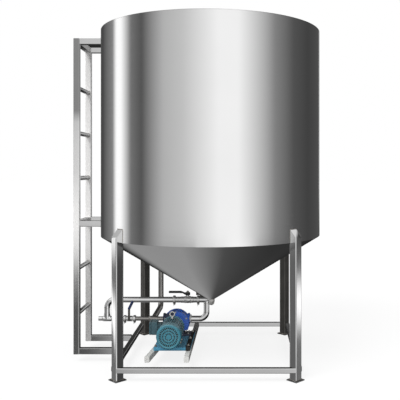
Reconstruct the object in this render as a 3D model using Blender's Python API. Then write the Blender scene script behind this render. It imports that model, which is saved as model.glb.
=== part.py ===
"""Vertical storage tank with a cone bottom, on four legs, with a pump set below it.

Metres, +Z up, the floor at z = 0. The front of the tank faces -Y. Shapes are written
about the tank's own axis, and every object is then moved by AXIS_X, so that the middle
of the whole object's box stands over the origin.
"""
import math

import bmesh
import bpy
from mathutils import Matrix, Vector

AXIS_X = 0.1025
GAP = 0.0003

# Tank
TANK_R = 0.950
WALL = 0.004
RIM_Z = 1.063
TOP_Z = 2.817
CONE_SLOPE = math.radians(32.0)
ROOF_SLOPE = math.radians(5.0)
OUTLET_R = 0.0305
MANWAY_AT = (0.10, 0.40)
MANWAY_R = 0.206
MANWAY_TOP = 2.955
VENT_AT = (-0.35, 0.30)
RING_STEPS = 128
SHARP_ANGLE = math.radians(35.0)

# Frame
LEG = 0.070
LEG_CENTRE = 0.975
LEG_TOP_IN = 1.170
LEG_TOP_OUT = 1.104
FOOT = 0.100
FOOT_T = 0.008
RAIL_T = 0.040
RAIL_Z0 = 0.067
RAIL_Z1 = 0.107
FRAME_Z0 = 0.065
FRAME_Z1 = 0.115

# Ladder frame
LADDER_X = -1.130
LADDER_HALF = 0.205
STILE = 0.050
LADDER_TOP = 2.742
LADDER_MID = 1.195
RUNG = 0.038
RUNG_FIRST = 0.400
RUNG_PITCH = 0.385
RUNG_LEVELS = (0, 1, 3, 4, 5)
PLATE_T = 0.005

# Pipework, all in the plane y = PIPE_Y except for the outlet and the return branch
PIPE_Y = 0.142
MAIN_R = 0.0255
SMALL_R = 0.019
MAIN_Z = 0.4513
LOW_Z = 0.280
SUCTION_X = -0.049
RISER_X = -0.528
RISER_Y = 0.650
DROP_X = -0.948
OPEN_END_X = -1.024
BORE_R = 0.0165
BORE_DEPTH = 0.035
MAIN_FERRULE_R = 0.032
SMALL_FERRULE_R = 0.0253
FERRULE_T = 0.0028
CLAMP_T = 0.008
HANGER_X = (-0.144, -0.075)
HANGER_T = 0.006
SAG = 0.0002

# Ball valves
VALVE_1_X = -0.2193
VALVE_1_ENDS = (-0.3400, -0.1243)
VALVE_1_STEM = 0.042
VALVE_2_X = -0.743
VALVE_2_ENDS = (-0.7860, -0.7000)
VALVE_2_STEM = 0.036

# Pump set
PUMP_X = -0.332
SHAFT_Z = 0.250
SKID_X = (-0.497, -0.1765)
SKID_LEAN = (0.11, 0.0)
SKID_FRONT = -0.460
BASE_X = (-0.466, -0.160)
BASE_Y = (-0.300, 0.240)
BASE_TOP = 0.143
MOTOR_R = 0.088
FIN_R = 0.098
MOTOR_Y = (-0.300, -0.030)
FAN_R = 0.1045
FAN_DEPTH = 0.078
BRACKET_LEN = 0.080
CASING_AT = (-0.320, 0.245)
CASING_R = 0.118
PORT_X = (-0.4380, -0.1860)
PORT_R = 0.050
FOOT_TOP = 0.165

STEEL = ((0.62, 0.62, 0.61), 1.0, 0.28)
FRAME_STEEL = ((0.50, 0.51, 0.51), 1.0, 0.38)
BLACK = ((0.015, 0.015, 0.017), 0.0, 0.45)
NAVY = ((0.012, 0.022, 0.075), 0.0, 0.45)
TEAL = ((0.045, 0.205, 0.270), 0.0, 0.42)
LIGHT_BLUE = ((0.100, 0.370, 0.560), 0.0, 0.45)
BRIGHT_BLUE = ((0.014, 0.080, 0.420), 0.0, 0.38)

UP, ALONG_X, ALONG_Y, TO_FRONT = (0, 0, 1), (1, 0, 0), (0, 1, 0), (0, -1, 0)


def clear_scene():
    for obj in list(bpy.data.objects):
        bpy.data.objects.remove(obj, do_unlink=True)


def make_material(name, colour, metallic, roughness):
    material = bpy.data.materials.new(name)
    material.use_nodes = True
    shader = material.node_tree.nodes["Principled BSDF"]
    shader.inputs["Base Color"].default_value = (*colour, 1.0)
    shader.inputs["Metallic"].default_value = metallic
    shader.inputs["Roughness"].default_value = roughness
    return material


def finish(name, bm, paint, origin=(0.0, 0.0, 0.0)):
    """Turn a bmesh in tank coordinates into a named object with its origin at a point."""
    bmesh.ops.recalc_face_normals(bm, faces=bm.faces[:])
    bmesh.ops.translate(bm, verts=bm.verts[:], vec=-Vector(origin))
    mesh = bpy.data.meshes.new(name)
    bm.to_mesh(mesh)
    bm.free()
    mesh.shade_smooth()
    mesh.set_sharp_from_angle(angle=SHARP_ANGLE)
    mesh.materials.append(make_material(name, *paint))
    obj = bpy.data.objects.new(name, mesh)
    obj.location = Vector(origin) + Vector((AXIS_X, 0.0, 0.0))
    bpy.context.scene.collection.objects.link(obj)


def close_rings(bm, rings, loop=False):
    """Skin a row of vertex rings: ends capped, or the last ring joined to the first."""
    count = len(rings[0])
    pairs = list(zip(rings, rings[1:]))
    if loop:
        pairs.append((rings[-1], rings[0]))
    for a, b in pairs:
        for i in range(count):
            j = (i + 1) % count
            bm.faces.new((a[i], a[j], b[j], b[i]))
    if not loop:
        bm.faces.new(rings[0][::-1])
        bm.faces.new(rings[-1])


def solid(rings_of_points, loop=False):
    """A closed bmesh skinned over rings of points."""
    bm = bmesh.new()
    rings = [[bm.verts.new(p) for p in ring] for ring in rings_of_points]
    close_rings(bm, rings, loop)
    bmesh.ops.recalc_face_normals(bm, faces=bm.faces[:])
    return bm


def prism(plan, z0, z1):
    """An upright prism over a plan; its bottom and top may be numbers or functions of (x, y)."""
    low = z0 if callable(z0) else (lambda x, y: z0)
    high = z1 if callable(z1) else (lambda x, y: z1)
    return solid([[(x, y, low(x, y)) for x, y in plan], [(x, y, high(x, y)) for x, y in plan]])


def box(x0, x1, y0, y1, z0, z1):
    return prism([(x0, y0), (x1, y0), (x1, y1), (x0, y1)], z0, z1)


def axis_frame(axis):
    axis = Vector(axis).normalized()
    side = axis.orthogonal().normalized()
    return axis, side, axis.cross(side)


def circle(centre, side, other, radius, steps):
    """Points of a circle spanned by two unit vectors."""
    points = []
    for i in range(steps):
        angle = 2 * math.pi * i / steps
        points.append(Vector(centre) + (side * math.cos(angle) + other * math.sin(angle)) * radius)
    return points


def turned(start, axis, profile, steps=32):
    """A solid of revolution from a start point; the profile is (distance along, radius)."""
    axis, side, other = axis_frame(axis)
    return solid([circle(Vector(start) + axis * t, side, other, r, steps) for t, r in profile])


def rod(start, axis, length, radius, steps=32):
    return turned(start, axis, [(0, radius), (length, radius)], steps)


def ring_about(centre, axis, section, steps=40):
    """A closed ring: a section of (distance along, radius) points turned about an axis."""
    axis, side, other = axis_frame(axis)
    rings = []
    for i in range(steps):
        angle = 2 * math.pi * i / steps
        out = side * math.cos(angle) + other * math.sin(angle)
        rings.append([Vector(centre) + axis * t + out * r for t, r in section])
    return solid(rings, loop=True)


def tank_sector(profile, start, sweep, steps):
    """A closed (r, z) profile turned part of the way about the tank's axis."""
    rings = []
    for i in range(steps + 1):
        angle = start + sweep * i / steps
        rings.append([(r * math.cos(angle), r * math.sin(angle), z) for r, z in profile])
    return solid(rings)


def bent_path(corners, bend, arc_steps=8):
    """A polyline whose inner corners are arcs of the given centre-line radius."""
    corners = [Vector(c) for c in corners]
    path = [corners[0]]
    for before, here, after in zip(corners, corners[1:], corners[2:]):
        a = (before - here).normalized()
        b = (after - here).normalized()
        half = a.angle(b) / 2
        reach = bend / math.tan(half)
        centre = here + (a + b).normalized() * (bend / math.sin(half))
        start = here + a * reach - centre
        end = here + b * reach - centre
        turn = start.cross(end).normalized()
        for i in range(arc_steps + 1):
            spin = Matrix.Rotation(start.angle(end) * i / arc_steps, 3, turn)
            path.append(centre + spin @ start)
    path.append(corners[-1])
    return path


def tube(corners, bend, radius, steps=24, end_z=None):
    """A round bar along a bent path. end_z gives the last ring's heights from (x, y)."""
    path = bent_path(corners, bend)
    side = (path[1] - path[0]).orthogonal().normalized()
    rings = []
    for i, point in enumerate(path):
        before = (point - path[i - 1]).normalized() if i else (path[1] - point).normalized()
        after = (path[i + 1] - point).normalized() if i + 1 < len(path) else before
        normal = (before + after).normalized()
        side = (side - normal * side.dot(normal)).normalized()
        rings.append(circle(point, side, normal.cross(side), radius, steps))
    if end_z:
        rings[-1] = [(p.x, p.y, end_z(p.x, p.y)) for p in rings[-1]]
    return solid(rings)


def temp_object(bm):
    mesh = bpy.data.meshes.new("temp")
    bm.to_mesh(mesh)
    bm.free()
    obj = bpy.data.objects.new("temp", mesh)
    bpy.context.scene.collection.objects.link(obj)
    return obj


def combine(solids, cut=()):
    """Join closed bmeshes into one and cut others out of it."""
    base = temp_object(solids[0])
    tools = [(temp_object(bm), "UNION") for bm in solids[1:]]
    tools += [(temp_object(bm), "DIFFERENCE") for bm in cut]
    for tool, operation in tools:
        modifier = base.modifiers.new(operation.title(), "BOOLEAN")
        modifier.operation = operation
        modifier.solver = "EXACT"
        modifier.object = tool
    graph = bpy.context.evaluated_depsgraph_get()
    result = bmesh.new()
    result.from_mesh(bpy.data.meshes.new_from_object(base.evaluated_get(graph)))
    for obj in [base] + [tool for tool, operation in tools]:
        bpy.data.objects.remove(obj, do_unlink=True)
    bmesh.ops.remove_doubles(result, verts=result.verts[:], dist=0.00001)
    bmesh.ops.dissolve_degenerate(result, dist=0.00001, edges=result.edges[:])
    return result


def cone_z(r):
    """Height of the cone's outer face at radius r."""
    return RIM_Z - (TANK_R - r) * math.tan(CONE_SLOPE)


def roof_z(r):
    """Height of the roof's outer face at radius r."""
    return TOP_Z + (TANK_R - r) * math.tan(ROOF_SLOPE)


def under_cone(x, y):
    return cone_z(math.hypot(x, y)) - GAP


def over_roof(x, y):
    return roof_z(math.hypot(x, y)) + GAP


def build_shell():
    """Four rolled plates that meet behind the legs' centre lines."""
    z0, z1 = RIM_Z + GAP, TOP_Z - WALL - GAP
    profile = [(TANK_R - WALL, z0), (TANK_R, z0), (TANK_R, z1), (TANK_R - WALL, z1)]
    trim = GAP / TANK_R
    for i in range(4):
        start = math.radians(45 + 90 * i) + trim / 2
        plate = tank_sector(profile, start, math.pi / 2 - trim, RING_STEPS // 4)
        finish(f"shell_plate_{i + 1}", plate, STEEL)


def build_cone():
    """Two halves of the bottom cone, down to the outlet; their cut faces stand GAP apart."""
    lift = WALL / math.cos(CONE_SLOPE)
    inset = WALL / math.sin(CONE_SLOPE)
    throat = OUTLET_R - WALL
    tip = cone_z(OUTLET_R)
    profile = [(OUTLET_R, tip), (TANK_R, RIM_Z), (TANK_R - inset, RIM_Z),
               (throat, cone_z(throat) + lift), (throat, tip)]
    for i, cut_y in enumerate((GAP / 2, -GAP / 2)):
        half = tank_sector(profile, math.pi * i, math.pi, RING_STEPS // 2)
        for vert in half.verts:
            if abs(vert.co.y) < GAP / 2:
                vert.co.y = cut_y
        finish(f"cone_half_{i + 1}", half, STEEL)


def build_roof():
    """Shallow conical roof with a hole under the manway."""
    lift = WALL / math.cos(ROOF_SLOPE)
    outer = [(TANK_R, TOP_Z - WALL), (TANK_R, TOP_Z)]
    bm = bmesh.new()
    top = bm.verts.new((0, 0, roof_z(0)))
    low = bm.verts.new((0, 0, roof_z(0) - lift))
    rings = []
    for i in range(RING_STEPS):
        angle = 2 * math.pi * i / RING_STEPS
        rings.append([bm.verts.new((r * math.cos(angle), r * math.sin(angle), z)) for r, z in outer])
    for a, b in zip(rings, rings[1:] + rings[:1]):
        bm.faces.new((low, b[0], a[0]))
        bm.faces.new((a[0], b[0], b[1], a[1]))
        bm.faces.new((top, a[1], b[1]))
    bmesh.ops.recalc_face_normals(bm, faces=bm.faces[:])
    hole = rod((*MANWAY_AT, TOP_Z - 0.1), UP, 0.4, MANWAY_R - WALL, 48)
    finish("roof", combine([bm], [hole]), STEEL)


def build_manway():
    """Round neck with a flange, closed by a domed cover."""
    x, y = MANWAY_AT
    flange_r = MANWAY_R + 0.029
    flange_z = MANWAY_TOP - 0.010
    steps = 48
    rings = []
    for i in range(steps):
        c, s = math.cos(2 * math.pi * i / steps), math.sin(2 * math.pi * i / steps)
        ring = []
        for r in (MANWAY_R, MANWAY_R + WALL):
            ring.append((x + r * c, y + r * s, over_roof(x + r * c, y + r * s)))
        for r, z in ((MANWAY_R + WALL, flange_z), (flange_r, flange_z),
                     (flange_r, MANWAY_TOP), (MANWAY_R, MANWAY_TOP)):
            ring.append((x + r * c, y + r * s, z))
        rings.append(ring)
    finish("manway_neck", solid(rings, loop=True), STEEL)
    dome = [(0.0, flange_r), (0.008, flange_r), (0.012, 0.18), (0.022, 0.12), (0.030, 0.04)]
    finish("manway_cover", turned((x, y, MANWAY_TOP + GAP), UP, dome, 48), STEEL)


def build_vent():
    """Goose-neck vent; its foot follows the roof."""
    x, y = VENT_AT
    crown = 2.980
    reach = 0.11
    corners = [(x + reach, y, crown - 0.06), (x + reach, y, crown), (x, y, crown), (x, y, 2.855)]
    finish("vent_pipe", tube(corners, 0.05, 0.021, end_z=over_roof), STEEL)


def polar(angle, u, v):
    """The point u out along a direction and v across it."""
    c, s = math.cos(angle), math.sin(angle)
    return (u * c - v * s, u * s + v * c)


def square_plan(angle, centre, width):
    h = width / 2
    return [polar(angle, centre + u, v) for u, v in ((-h, -h), (h, -h), (h, h), (-h, h))]


def notch(angle):
    """The room that the shell and the cone's rim take out of a leg; it follows the shell's facets."""
    step = 2 * math.pi / RING_STEPS
    plan = [polar(angle + k * step, TANK_R + GAP, 0) for k in range(-3, 4)]
    plan += [polar(angle, TANK_R - LEG, 2 * LEG), polar(angle, TANK_R - LEG, -2 * LEG)]
    return prism(plan, cone_z(LEG_CENTRE - LEG / 2) - 1.5 * GAP, LEG_TOP_IN + LEG)


def build_legs():
    """Square tubes turned 45 degrees and notched for the tank, with a sloping top and a foot."""
    inner = TANK_R + GAP
    slope = (LEG_TOP_OUT - LEG_TOP_IN) / (LEG_CENTRE + LEG / 2 - inner)
    for name, degrees in (("leg_front_left", 225), ("leg_front_right", 315),
                          ("leg_rear_right", 45), ("leg_rear_left", 135)):
        angle = math.radians(degrees)

        def cap(x, y, angle=angle):
            return LEG_TOP_IN + slope * (x * math.cos(angle) + y * math.sin(angle) - inner)

        post = prism(square_plan(angle, LEG_CENTRE, LEG), FOOT_T / 2, cap)
        foot = prism(square_plan(angle, LEG_CENTRE, FOOT), 0, FOOT_T)
        finish(name, combine([post, foot], [notch(angle)]), FRAME_STEEL)


def rail_faces():
    """Distances from the tank's axis to a bottom rail's outer and inner face."""
    out = (LEG_CENTRE + LEG) / math.sqrt(2)
    return out, out - RAIL_T


def build_rails():
    """Four bottom rails, mitred onto the legs and flush with their corners."""
    out, back = rail_faces()
    long_half = LEG_CENTRE / math.sqrt(2) - GAP * math.sqrt(2)
    short_half = long_half - RAIL_T
    plan = [(-long_half, -out), (long_half, -out), (short_half, -back), (-short_half, -back)]
    for turns, side in enumerate(("front", "right", "rear", "left")):
        points = plan
        for _ in range(turns):
            points = [(-y, x) for x, y in points]
        finish(f"rail_{side}", prism(points, RAIL_Z0, RAIL_Z1), FRAME_STEEL)


def build_ladder():
    """Two uprights, a top and a middle cross member, and the rungs, all in one weldment."""
    half, inner = STILE / 2, LADDER_HALF - STILE / 2 + 0.001
    x0, x1 = LADDER_X - half, LADDER_X + half
    bars = []
    for y in (-LADDER_HALF, LADDER_HALF):
        bars.append(box(x0, x1, y - half, y + half, FRAME_Z0, LADDER_TOP))
    for top in (LADDER_TOP, LADDER_MID):
        bars.append(box(x0, x1, -inner, inner, top - STILE, top))
    r = RUNG / 2
    for level in RUNG_LEVELS:
        z = RUNG_FIRST + RUNG_PITCH * level
        bars.append(rod((LADDER_X, -inner, z), ALONG_Y, 2 * inner, r, 24))
    finish("ladder", combine(bars), FRAME_STEEL)


def shell_x(y):
    """The x at which a piece at the left side meets the shell."""
    reach = TANK_R + GAP
    return -math.sqrt(reach * reach - y * y)


def build_arms():
    """Level arms from the ladder frame to the shell and to the left bottom rail."""
    start = LADDER_X + STILE / 2 + GAP
    rail_x = -rail_faces()[0] - GAP
    for level, top in (("top", LADDER_TOP), ("middle", LADDER_MID), ("bottom", FRAME_Z1)):
        for word, centre in (("front", -LADDER_HALF), ("rear", LADDER_HALF)):
            ys = [centre - STILE / 2 + STILE * i / 4 for i in range(5)]
            if level == "bottom":
                end = [(rail_x, ys[0]), (rail_x, ys[-1])]
            else:
                end = [(shell_x(y), y) for y in ys]
            plan = [(start, ys[-1]), (start, ys[0])] + end
            finish(f"arm_{level}_{word}", prism(plan, top - STILE, top), FRAME_STEEL)


def build_top_plate():
    """Sheet between the two top arms."""
    half = LADDER_HALF - STILE / 2 - GAP
    start = LADDER_X + STILE / 2 + GAP
    ys = [-half + 2 * half * i / 8 for i in range(9)]
    plan = [(start, half), (start, -half)] + [(shell_x(y), y) for y in ys]
    finish("ladder_top_plate", prism(plan, LADDER_TOP - PLATE_T, LADDER_TOP), FRAME_STEEL)


def ferrule(x, z, radius, outward):
    """Flat collar at a pipe's end; outward is +1 or -1 along X, towards the joint."""
    return rod((x, PIPE_Y, z), (-outward, 0, 0), FERRULE_T, radius, 40)


def pipe_x(x0, x1, z, radius, steps=32):
    return rod((x0, PIPE_Y, z), ALONG_X, x1 - x0, radius, steps)


def build_suction():
    """Outlet stub, elbow, header, and the drop to the pump."""
    tip = cone_z(OUTLET_R) - GAP
    end = VALVE_1_ENDS[1] + GAP
    near = PIPE_Y - 0.045
    parts = [
        tube([(0, 0, tip), (0, 0, MAIN_Z), (0, near, MAIN_Z)], 0.033, MAIN_R),
        tube([(0, near - 0.005, MAIN_Z), (0, PIPE_Y, MAIN_Z), (end, PIPE_Y, MAIN_Z)], 0.045, MAIN_R),
        tube([(SUCTION_X, PIPE_Y, MAIN_Z), (SUCTION_X, PIPE_Y, LOW_Z),
              (PORT_X[1] + GAP, PIPE_Y, LOW_Z)], 0.060, MAIN_R),
        rod((0, 0, tip), (0, 0, -1), 0.005, MAIN_FERRULE_R, 40),
        ferrule(end, MAIN_Z, MAIN_FERRULE_R, -1),
    ]
    finish("suction_pipe", combine(parts), STEEL)


def side_plate(outline, width):
    """A plate over the pipe's middle; its outline is (x, z) points around it."""
    return solid([[(x, y, z) for x, z in outline] for y in (PIPE_Y - width / 2, PIPE_Y + width / 2)])


def build_valve_1():
    """Ball valve on the upper line, with a level lever above it."""
    x, z = VALVE_1_X, MAIN_Z
    left, right = VALVE_1_ENDS
    parts = [
        pipe_x(left, right, z, MAIN_R),
        pipe_x(x - 0.064, x + 0.052, z, 0.028),
        pipe_x(x - 0.022, x + 0.022, z, 0.032),
        rod((x, PIPE_Y, z), UP, VALVE_1_STEM, 0.012, 24),
        ferrule(left, z, MAIN_FERRULE_R, -1),
        ferrule(right, z, MAIN_FERRULE_R, 1),
    ]
    finish("valve_1_body", combine(parts), STEEL)
    bottom = z + VALVE_1_STEM + GAP
    outline = [(0.014, 0.0), (-0.030, 0.0), (-0.055, 0.021), (-0.170, 0.021),
               (-0.170, 0.034), (-0.060, 0.034), (-0.035, 0.010), (0.014, 0.010)]
    lever = side_plate([(x + dx, bottom + dz) for dx, dz in outline], 0.020)
    hub = rod((x, PIPE_Y, bottom + 0.001), UP, 0.025, 0.015, 6)
    finish("valve_1_lever", combine([lever, hub]), BLACK, (x, PIPE_Y, bottom))


def build_valve_2():
    """Ball valve on the lower line, with its lever standing in front of it."""
    x, z = VALVE_2_X, LOW_Z
    left, right = VALVE_2_ENDS
    parts = [
        pipe_x(left, right, z, SMALL_R),
        pipe_x(x - 0.024, x + 0.024, z, 0.026),
        rod((x, PIPE_Y, z), TO_FRONT, VALVE_2_STEM, 0.011, 24),
        ferrule(left, z, SMALL_FERRULE_R, -1),
        ferrule(right, z, SMALL_FERRULE_R, 1),
    ]
    finish("valve_2_body", combine(parts), STEEL)
    seat = PIPE_Y - VALVE_2_STEM - GAP
    mid = seat - 0.006
    parts = [
        rod((x, seat, z), TO_FRONT, 0.010, 0.013, 24),
        box(x - 0.008, x + 0.008, seat - 0.009, seat - 0.003, z, z + 0.107),
        rod((x - 0.001, mid, z + 0.100), (0.033, 0, 0.066), 0.074, 0.011, 16),
    ]
    finish("valve_2_lever", combine(parts), NAVY, (x, seat, z))


def build_discharge():
    """Upper line to the left, its drop, and the open outlet of the lower line."""
    main_end = VALVE_1_ENDS[0] - GAP
    low_end = VALVE_2_ENDS[0] - GAP
    parts = [
        tube([(main_end, PIPE_Y, MAIN_Z), (DROP_X, PIPE_Y, MAIN_Z), (DROP_X, PIPE_Y, LOW_Z)],
             0.073, MAIN_R),
        pipe_x(OPEN_END_X, low_end, LOW_Z, SMALL_R),
        pipe_x(DROP_X - 0.040, DROP_X + 0.040, LOW_Z, 0.024, 24),
        rod((DROP_X, PIPE_Y, LOW_Z + 0.030), UP, 0.030, 0.028, 24),
        ferrule(main_end, MAIN_Z, MAIN_FERRULE_R, 1),
        ferrule(low_end, LOW_Z, SMALL_FERRULE_R, 1),
    ]
    bore = pipe_x(OPEN_END_X - 0.01, OPEN_END_X + BORE_DEPTH, LOW_Z, BORE_R, 24)
    finish("discharge_pipe", combine(parts, [bore]), STEEL)


def build_return():
    """Pump outlet to the second valve, with the branch back and up to the cone."""
    start = VALVE_2_ENDS[1] + GAP
    corners = [(RISER_X, PIPE_Y, LOW_Z), (RISER_X, RISER_Y, LOW_Z), (RISER_X, RISER_Y, 0.99)]
    parts = [
        pipe_x(start, PORT_X[0] - GAP, LOW_Z, SMALL_R),
        tube(corners, 0.065, MAIN_R, end_z=under_cone),
        pipe_x(RISER_X - 0.036, RISER_X + 0.036, LOW_Z, MAIN_R),
        ferrule(start, LOW_Z, SMALL_FERRULE_R, -1),
    ]
    finish("return_pipe", combine(parts), STEEL)


def build_clamp(name, x, z, inner):
    """Clamp ring about a joint, with its wing nut below."""
    outer = inner + CLAMP_T
    section = [(-0.009, inner), (0.009, inner), (0.006, outer), (-0.006, outer)]
    parts = [
        ring_about((x, PIPE_Y, z), ALONG_X, section),
        box(x - 0.007, x + 0.007, PIPE_Y - 0.014, PIPE_Y + 0.014, z - outer - 0.013, z - outer + 0.003),
        rod((x, PIPE_Y - 0.012, z - outer - 0.006), TO_FRONT, 0.026, 0.0045, 12),
    ]
    finish(name, combine(parts), STEEL)


def build_clamps():
    main = MAIN_FERRULE_R + GAP
    small = SMALL_FERRULE_R + GAP
    build_clamp("clamp_1", VALVE_1_ENDS[1] + GAP / 2, MAIN_Z, main)
    build_clamp("clamp_2", VALVE_1_ENDS[0] - GAP / 2, MAIN_Z, main)
    build_clamp("clamp_3", VALVE_2_ENDS[1] + GAP / 2, LOW_Z, small)
    build_clamp("clamp_4", VALVE_2_ENDS[0] - GAP / 2, LOW_Z, small)


def build_hanger():
    """Stepped plate from the first clamp and the header up to the cone."""
    left, right = HANGER_X
    step = VALVE_1_ENDS[1] + 0.012
    over_clamp = MAIN_Z + MAIN_FERRULE_R + CLAMP_T + 2 * GAP
    over_pipe = MAIN_Z + MAIN_R + GAP
    outline = [(left, over_clamp), (step, over_clamp), (step, over_pipe), (right, over_pipe)]
    for i in range(5):
        x = right + (left - right) * i / 4
        outline.append((x, under_cone(x, PIPE_Y - HANGER_T / 2) - SAG))
    finish("pipe_hanger", side_plate(outline, HANGER_T), FRAME_STEEL)


def build_skid():
    """Two rails that butt the rear bottom rail, the left one slanting, and the base on them."""
    half = RAIL_T / 2
    rear = rail_faces()[1] - GAP
    for front_x, lean, word in zip(SKID_X, SKID_LEAN, ("left", "right")):
        rear_x = front_x + lean * (rear - SKID_FRONT)
        plan = [(front_x - half, SKID_FRONT), (front_x + half, SKID_FRONT),
                (rear_x + half, rear), (rear_x - half, rear)]
        finish(f"skid_rail_{word}", prism(plan, FRAME_Z0, FRAME_Z1), FRAME_STEEL)
    finish("pump_base", box(*BASE_X, *BASE_Y, FRAME_Z1 + GAP, BASE_TOP), LIGHT_BLUE)


def motor_fin(angle):
    fin = box(MOTOR_R - 0.008, FIN_R, MOTOR_Y[0] + 0.022, MOTOR_Y[1] - 0.030, -0.0012, 0.0012)
    place = Matrix.Translation((PUMP_X, 0, SHAFT_Z)) @ Matrix.Rotation(-angle, 4, "Y")
    bmesh.ops.transform(fin, matrix=place, verts=fin.verts[:])
    return fin


def build_motor():
    """Finned motor on two feet, its fan cover, terminal box and lifting eye."""
    front, back = MOTOR_Y
    parts = [rod((PUMP_X, front, SHAFT_Z), ALONG_Y, back - front, MOTOR_R, 48),
             rod((PUMP_X, back - 0.022, SHAFT_Z), ALONG_Y, 0.022, FIN_R, 48)]
    fins = 28
    for i in range(fins):
        degrees = 360 * (i + 0.5) / fins
        if not 245 < degrees < 295:
            parts.append(motor_fin(math.radians(degrees)))
    for x in (PUMP_X - 0.070, PUMP_X + 0.070):
        parts.append(box(x - 0.022, x + 0.022, -0.235, -0.075, BASE_TOP + GAP, SHAFT_Z - 0.05))
    finish("motor_frame", combine(parts), TEAL)
    cover = [(0, FAN_R), (FAN_DEPTH - 0.012, FAN_R), (FAN_DEPTH, FAN_R - 0.009)]
    finish("fan_cover", turned((PUMP_X, front - GAP, SHAFT_Z), TO_FRONT, cover, 48), TEAL)
    parts = [box(-0.516, -0.450, -0.205, -0.090, 0.222, 0.330),
             box(-0.451, PUMP_X - FIN_R - 0.0005, -0.185, -0.110, 0.235, 0.310),
             rod((-0.504, -0.148, 0.213), UP, 0.013, 0.008, 16)]
    finish("terminal_box", combine(parts), TEAL)
    x, y = PUMP_X + 0.005, -0.140
    foot = SHAFT_Z + FIN_R + 0.0005
    eye = [(0.005 * math.cos(math.pi * k / 5), 0.020 + 0.005 * math.sin(math.pi * k / 5)) for k in range(10)]
    stem = [(0, 0.011), (0.006, 0.011), (0.007, 0.006), (0.018, 0.006)]
    parts = [ring_about((x, y, foot + 0.037), ALONG_Y, eye, 24), turned((x, y, foot), UP, stem, 16)]
    finish("lifting_eye", combine(parts), STEEL)


def build_pump():
    """Coupling bracket, and the pump casing with its two ports in one line."""
    y0 = MOTOR_Y[1] + GAP
    neck = [(0, 0.078), (0.012, 0.078), (0.018, 0.055), (BRACKET_LEN, 0.055)]
    parts = [turned((PUMP_X, y0, SHAFT_Z), ALONG_Y, neck, 40),
             box(PUMP_X - 0.045, PUMP_X + 0.045, y0 + 0.020, y0 + 0.075, BASE_TOP + GAP, SHAFT_Z)]
    finish("coupling_bracket", combine(parts), NAVY)
    y1 = y0 + BRACKET_LEN + GAP
    x, z = CASING_AT
    casing = [(0, CASING_R - 0.010), (0.012, CASING_R), (0.050, CASING_R), (0.052, CASING_R - 0.006),
              (0.100, CASING_R - 0.006), (0.102, CASING_R), (0.134, CASING_R), (0.150, 0.07)]
    left, right = PORT_X
    parts = [
        turned((x, y1, z), ALONG_Y, casing, 48),
        pipe_x(left, right, LOW_Z, PORT_R),
        box(x - 0.070, right, y1 + 0.010, y1 + 0.125, BASE_TOP - 0.01, FOOT_TOP),
        turned((-0.290, PIPE_Y, z + 0.06), UP, [(0, 0.030), (0.046, 0.030), (0.060, 0.012)], 24),
    ]
    below = box(x - 0.2, x + 0.2, y1 - 0.01, y1 + 0.2, 0, BASE_TOP + GAP)
    finish("pump_body", combine(parts, [below]), BRIGHT_BLUE)


def main():
    clear_scene()
    build_shell()
    build_cone()
    build_roof()
    build_manway()
    build_vent()
    build_legs()
    build_rails()
    build_ladder()
    build_arms()
    build_top_plate()
    build_suction()
    build_valve_1()
    build_valve_2()
    build_discharge()
    build_return()
    build_clamps()
    build_hanger()
    build_skid()
    build_motor()
    build_pump()


main()
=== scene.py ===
# %% [markdown]
# # A stainless storage tank with a cone bottom
#
# This notebook dresses the plain solids of a storage tank: a tall drum on four legs, a ladder
# frame at its side, and a small pump set with sanitary pipework underneath. The solids come
# in as a fixed frame, in metres, with the floor at z = 0 and the front facing -Y. Each new
# piece takes the place of one or more of them, and rides on the body that carries it.

# %% The frame and the tools
import math
import bmesh
import bpy
from mathutils import Matrix, Vector


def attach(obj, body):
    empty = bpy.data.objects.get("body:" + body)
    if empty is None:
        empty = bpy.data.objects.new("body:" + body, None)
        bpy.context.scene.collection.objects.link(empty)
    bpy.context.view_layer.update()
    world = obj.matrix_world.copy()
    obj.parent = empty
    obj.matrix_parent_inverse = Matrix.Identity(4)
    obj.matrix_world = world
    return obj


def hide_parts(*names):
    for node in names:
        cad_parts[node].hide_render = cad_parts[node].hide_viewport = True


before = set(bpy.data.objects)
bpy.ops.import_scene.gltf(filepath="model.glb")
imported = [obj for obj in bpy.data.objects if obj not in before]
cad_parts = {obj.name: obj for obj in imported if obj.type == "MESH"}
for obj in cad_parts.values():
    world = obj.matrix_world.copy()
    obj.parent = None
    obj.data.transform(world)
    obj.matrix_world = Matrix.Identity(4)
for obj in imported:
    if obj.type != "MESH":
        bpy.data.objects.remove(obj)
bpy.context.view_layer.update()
TANK = "tank_and_frame"
AXIS_X = 0.1025                                            # the drum's centre line, metres
GAP = 0.0003                                               # between a part and its seat

# %% [markdown]
# The drum's own centre line is the natural place to measure from, but the frame's origin is
# the middle of the whole object, ladder included. So every shape below is written about the
# drum's centre line, and one function moves the finished mesh by AXIS_X. That function also
# names the piece, smooths what is round, and says which solids the piece stands for. Rounded
# edges would bend the shading of the flat faces beside them, so a modifier weighs each normal
# by face area: a flat face then mirrors like flat steel.

# %% Finishing a piece
SHARP = math.radians(32)                                    # a sharper bend stays an edge
SAME_POINT = 0.000002                                      # metres between merged points
UP = Vector((0, 0, 1))
ALONG_X = Vector((1, 0, 0))
ALONG_Y = Vector((0, 1, 0))


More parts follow.
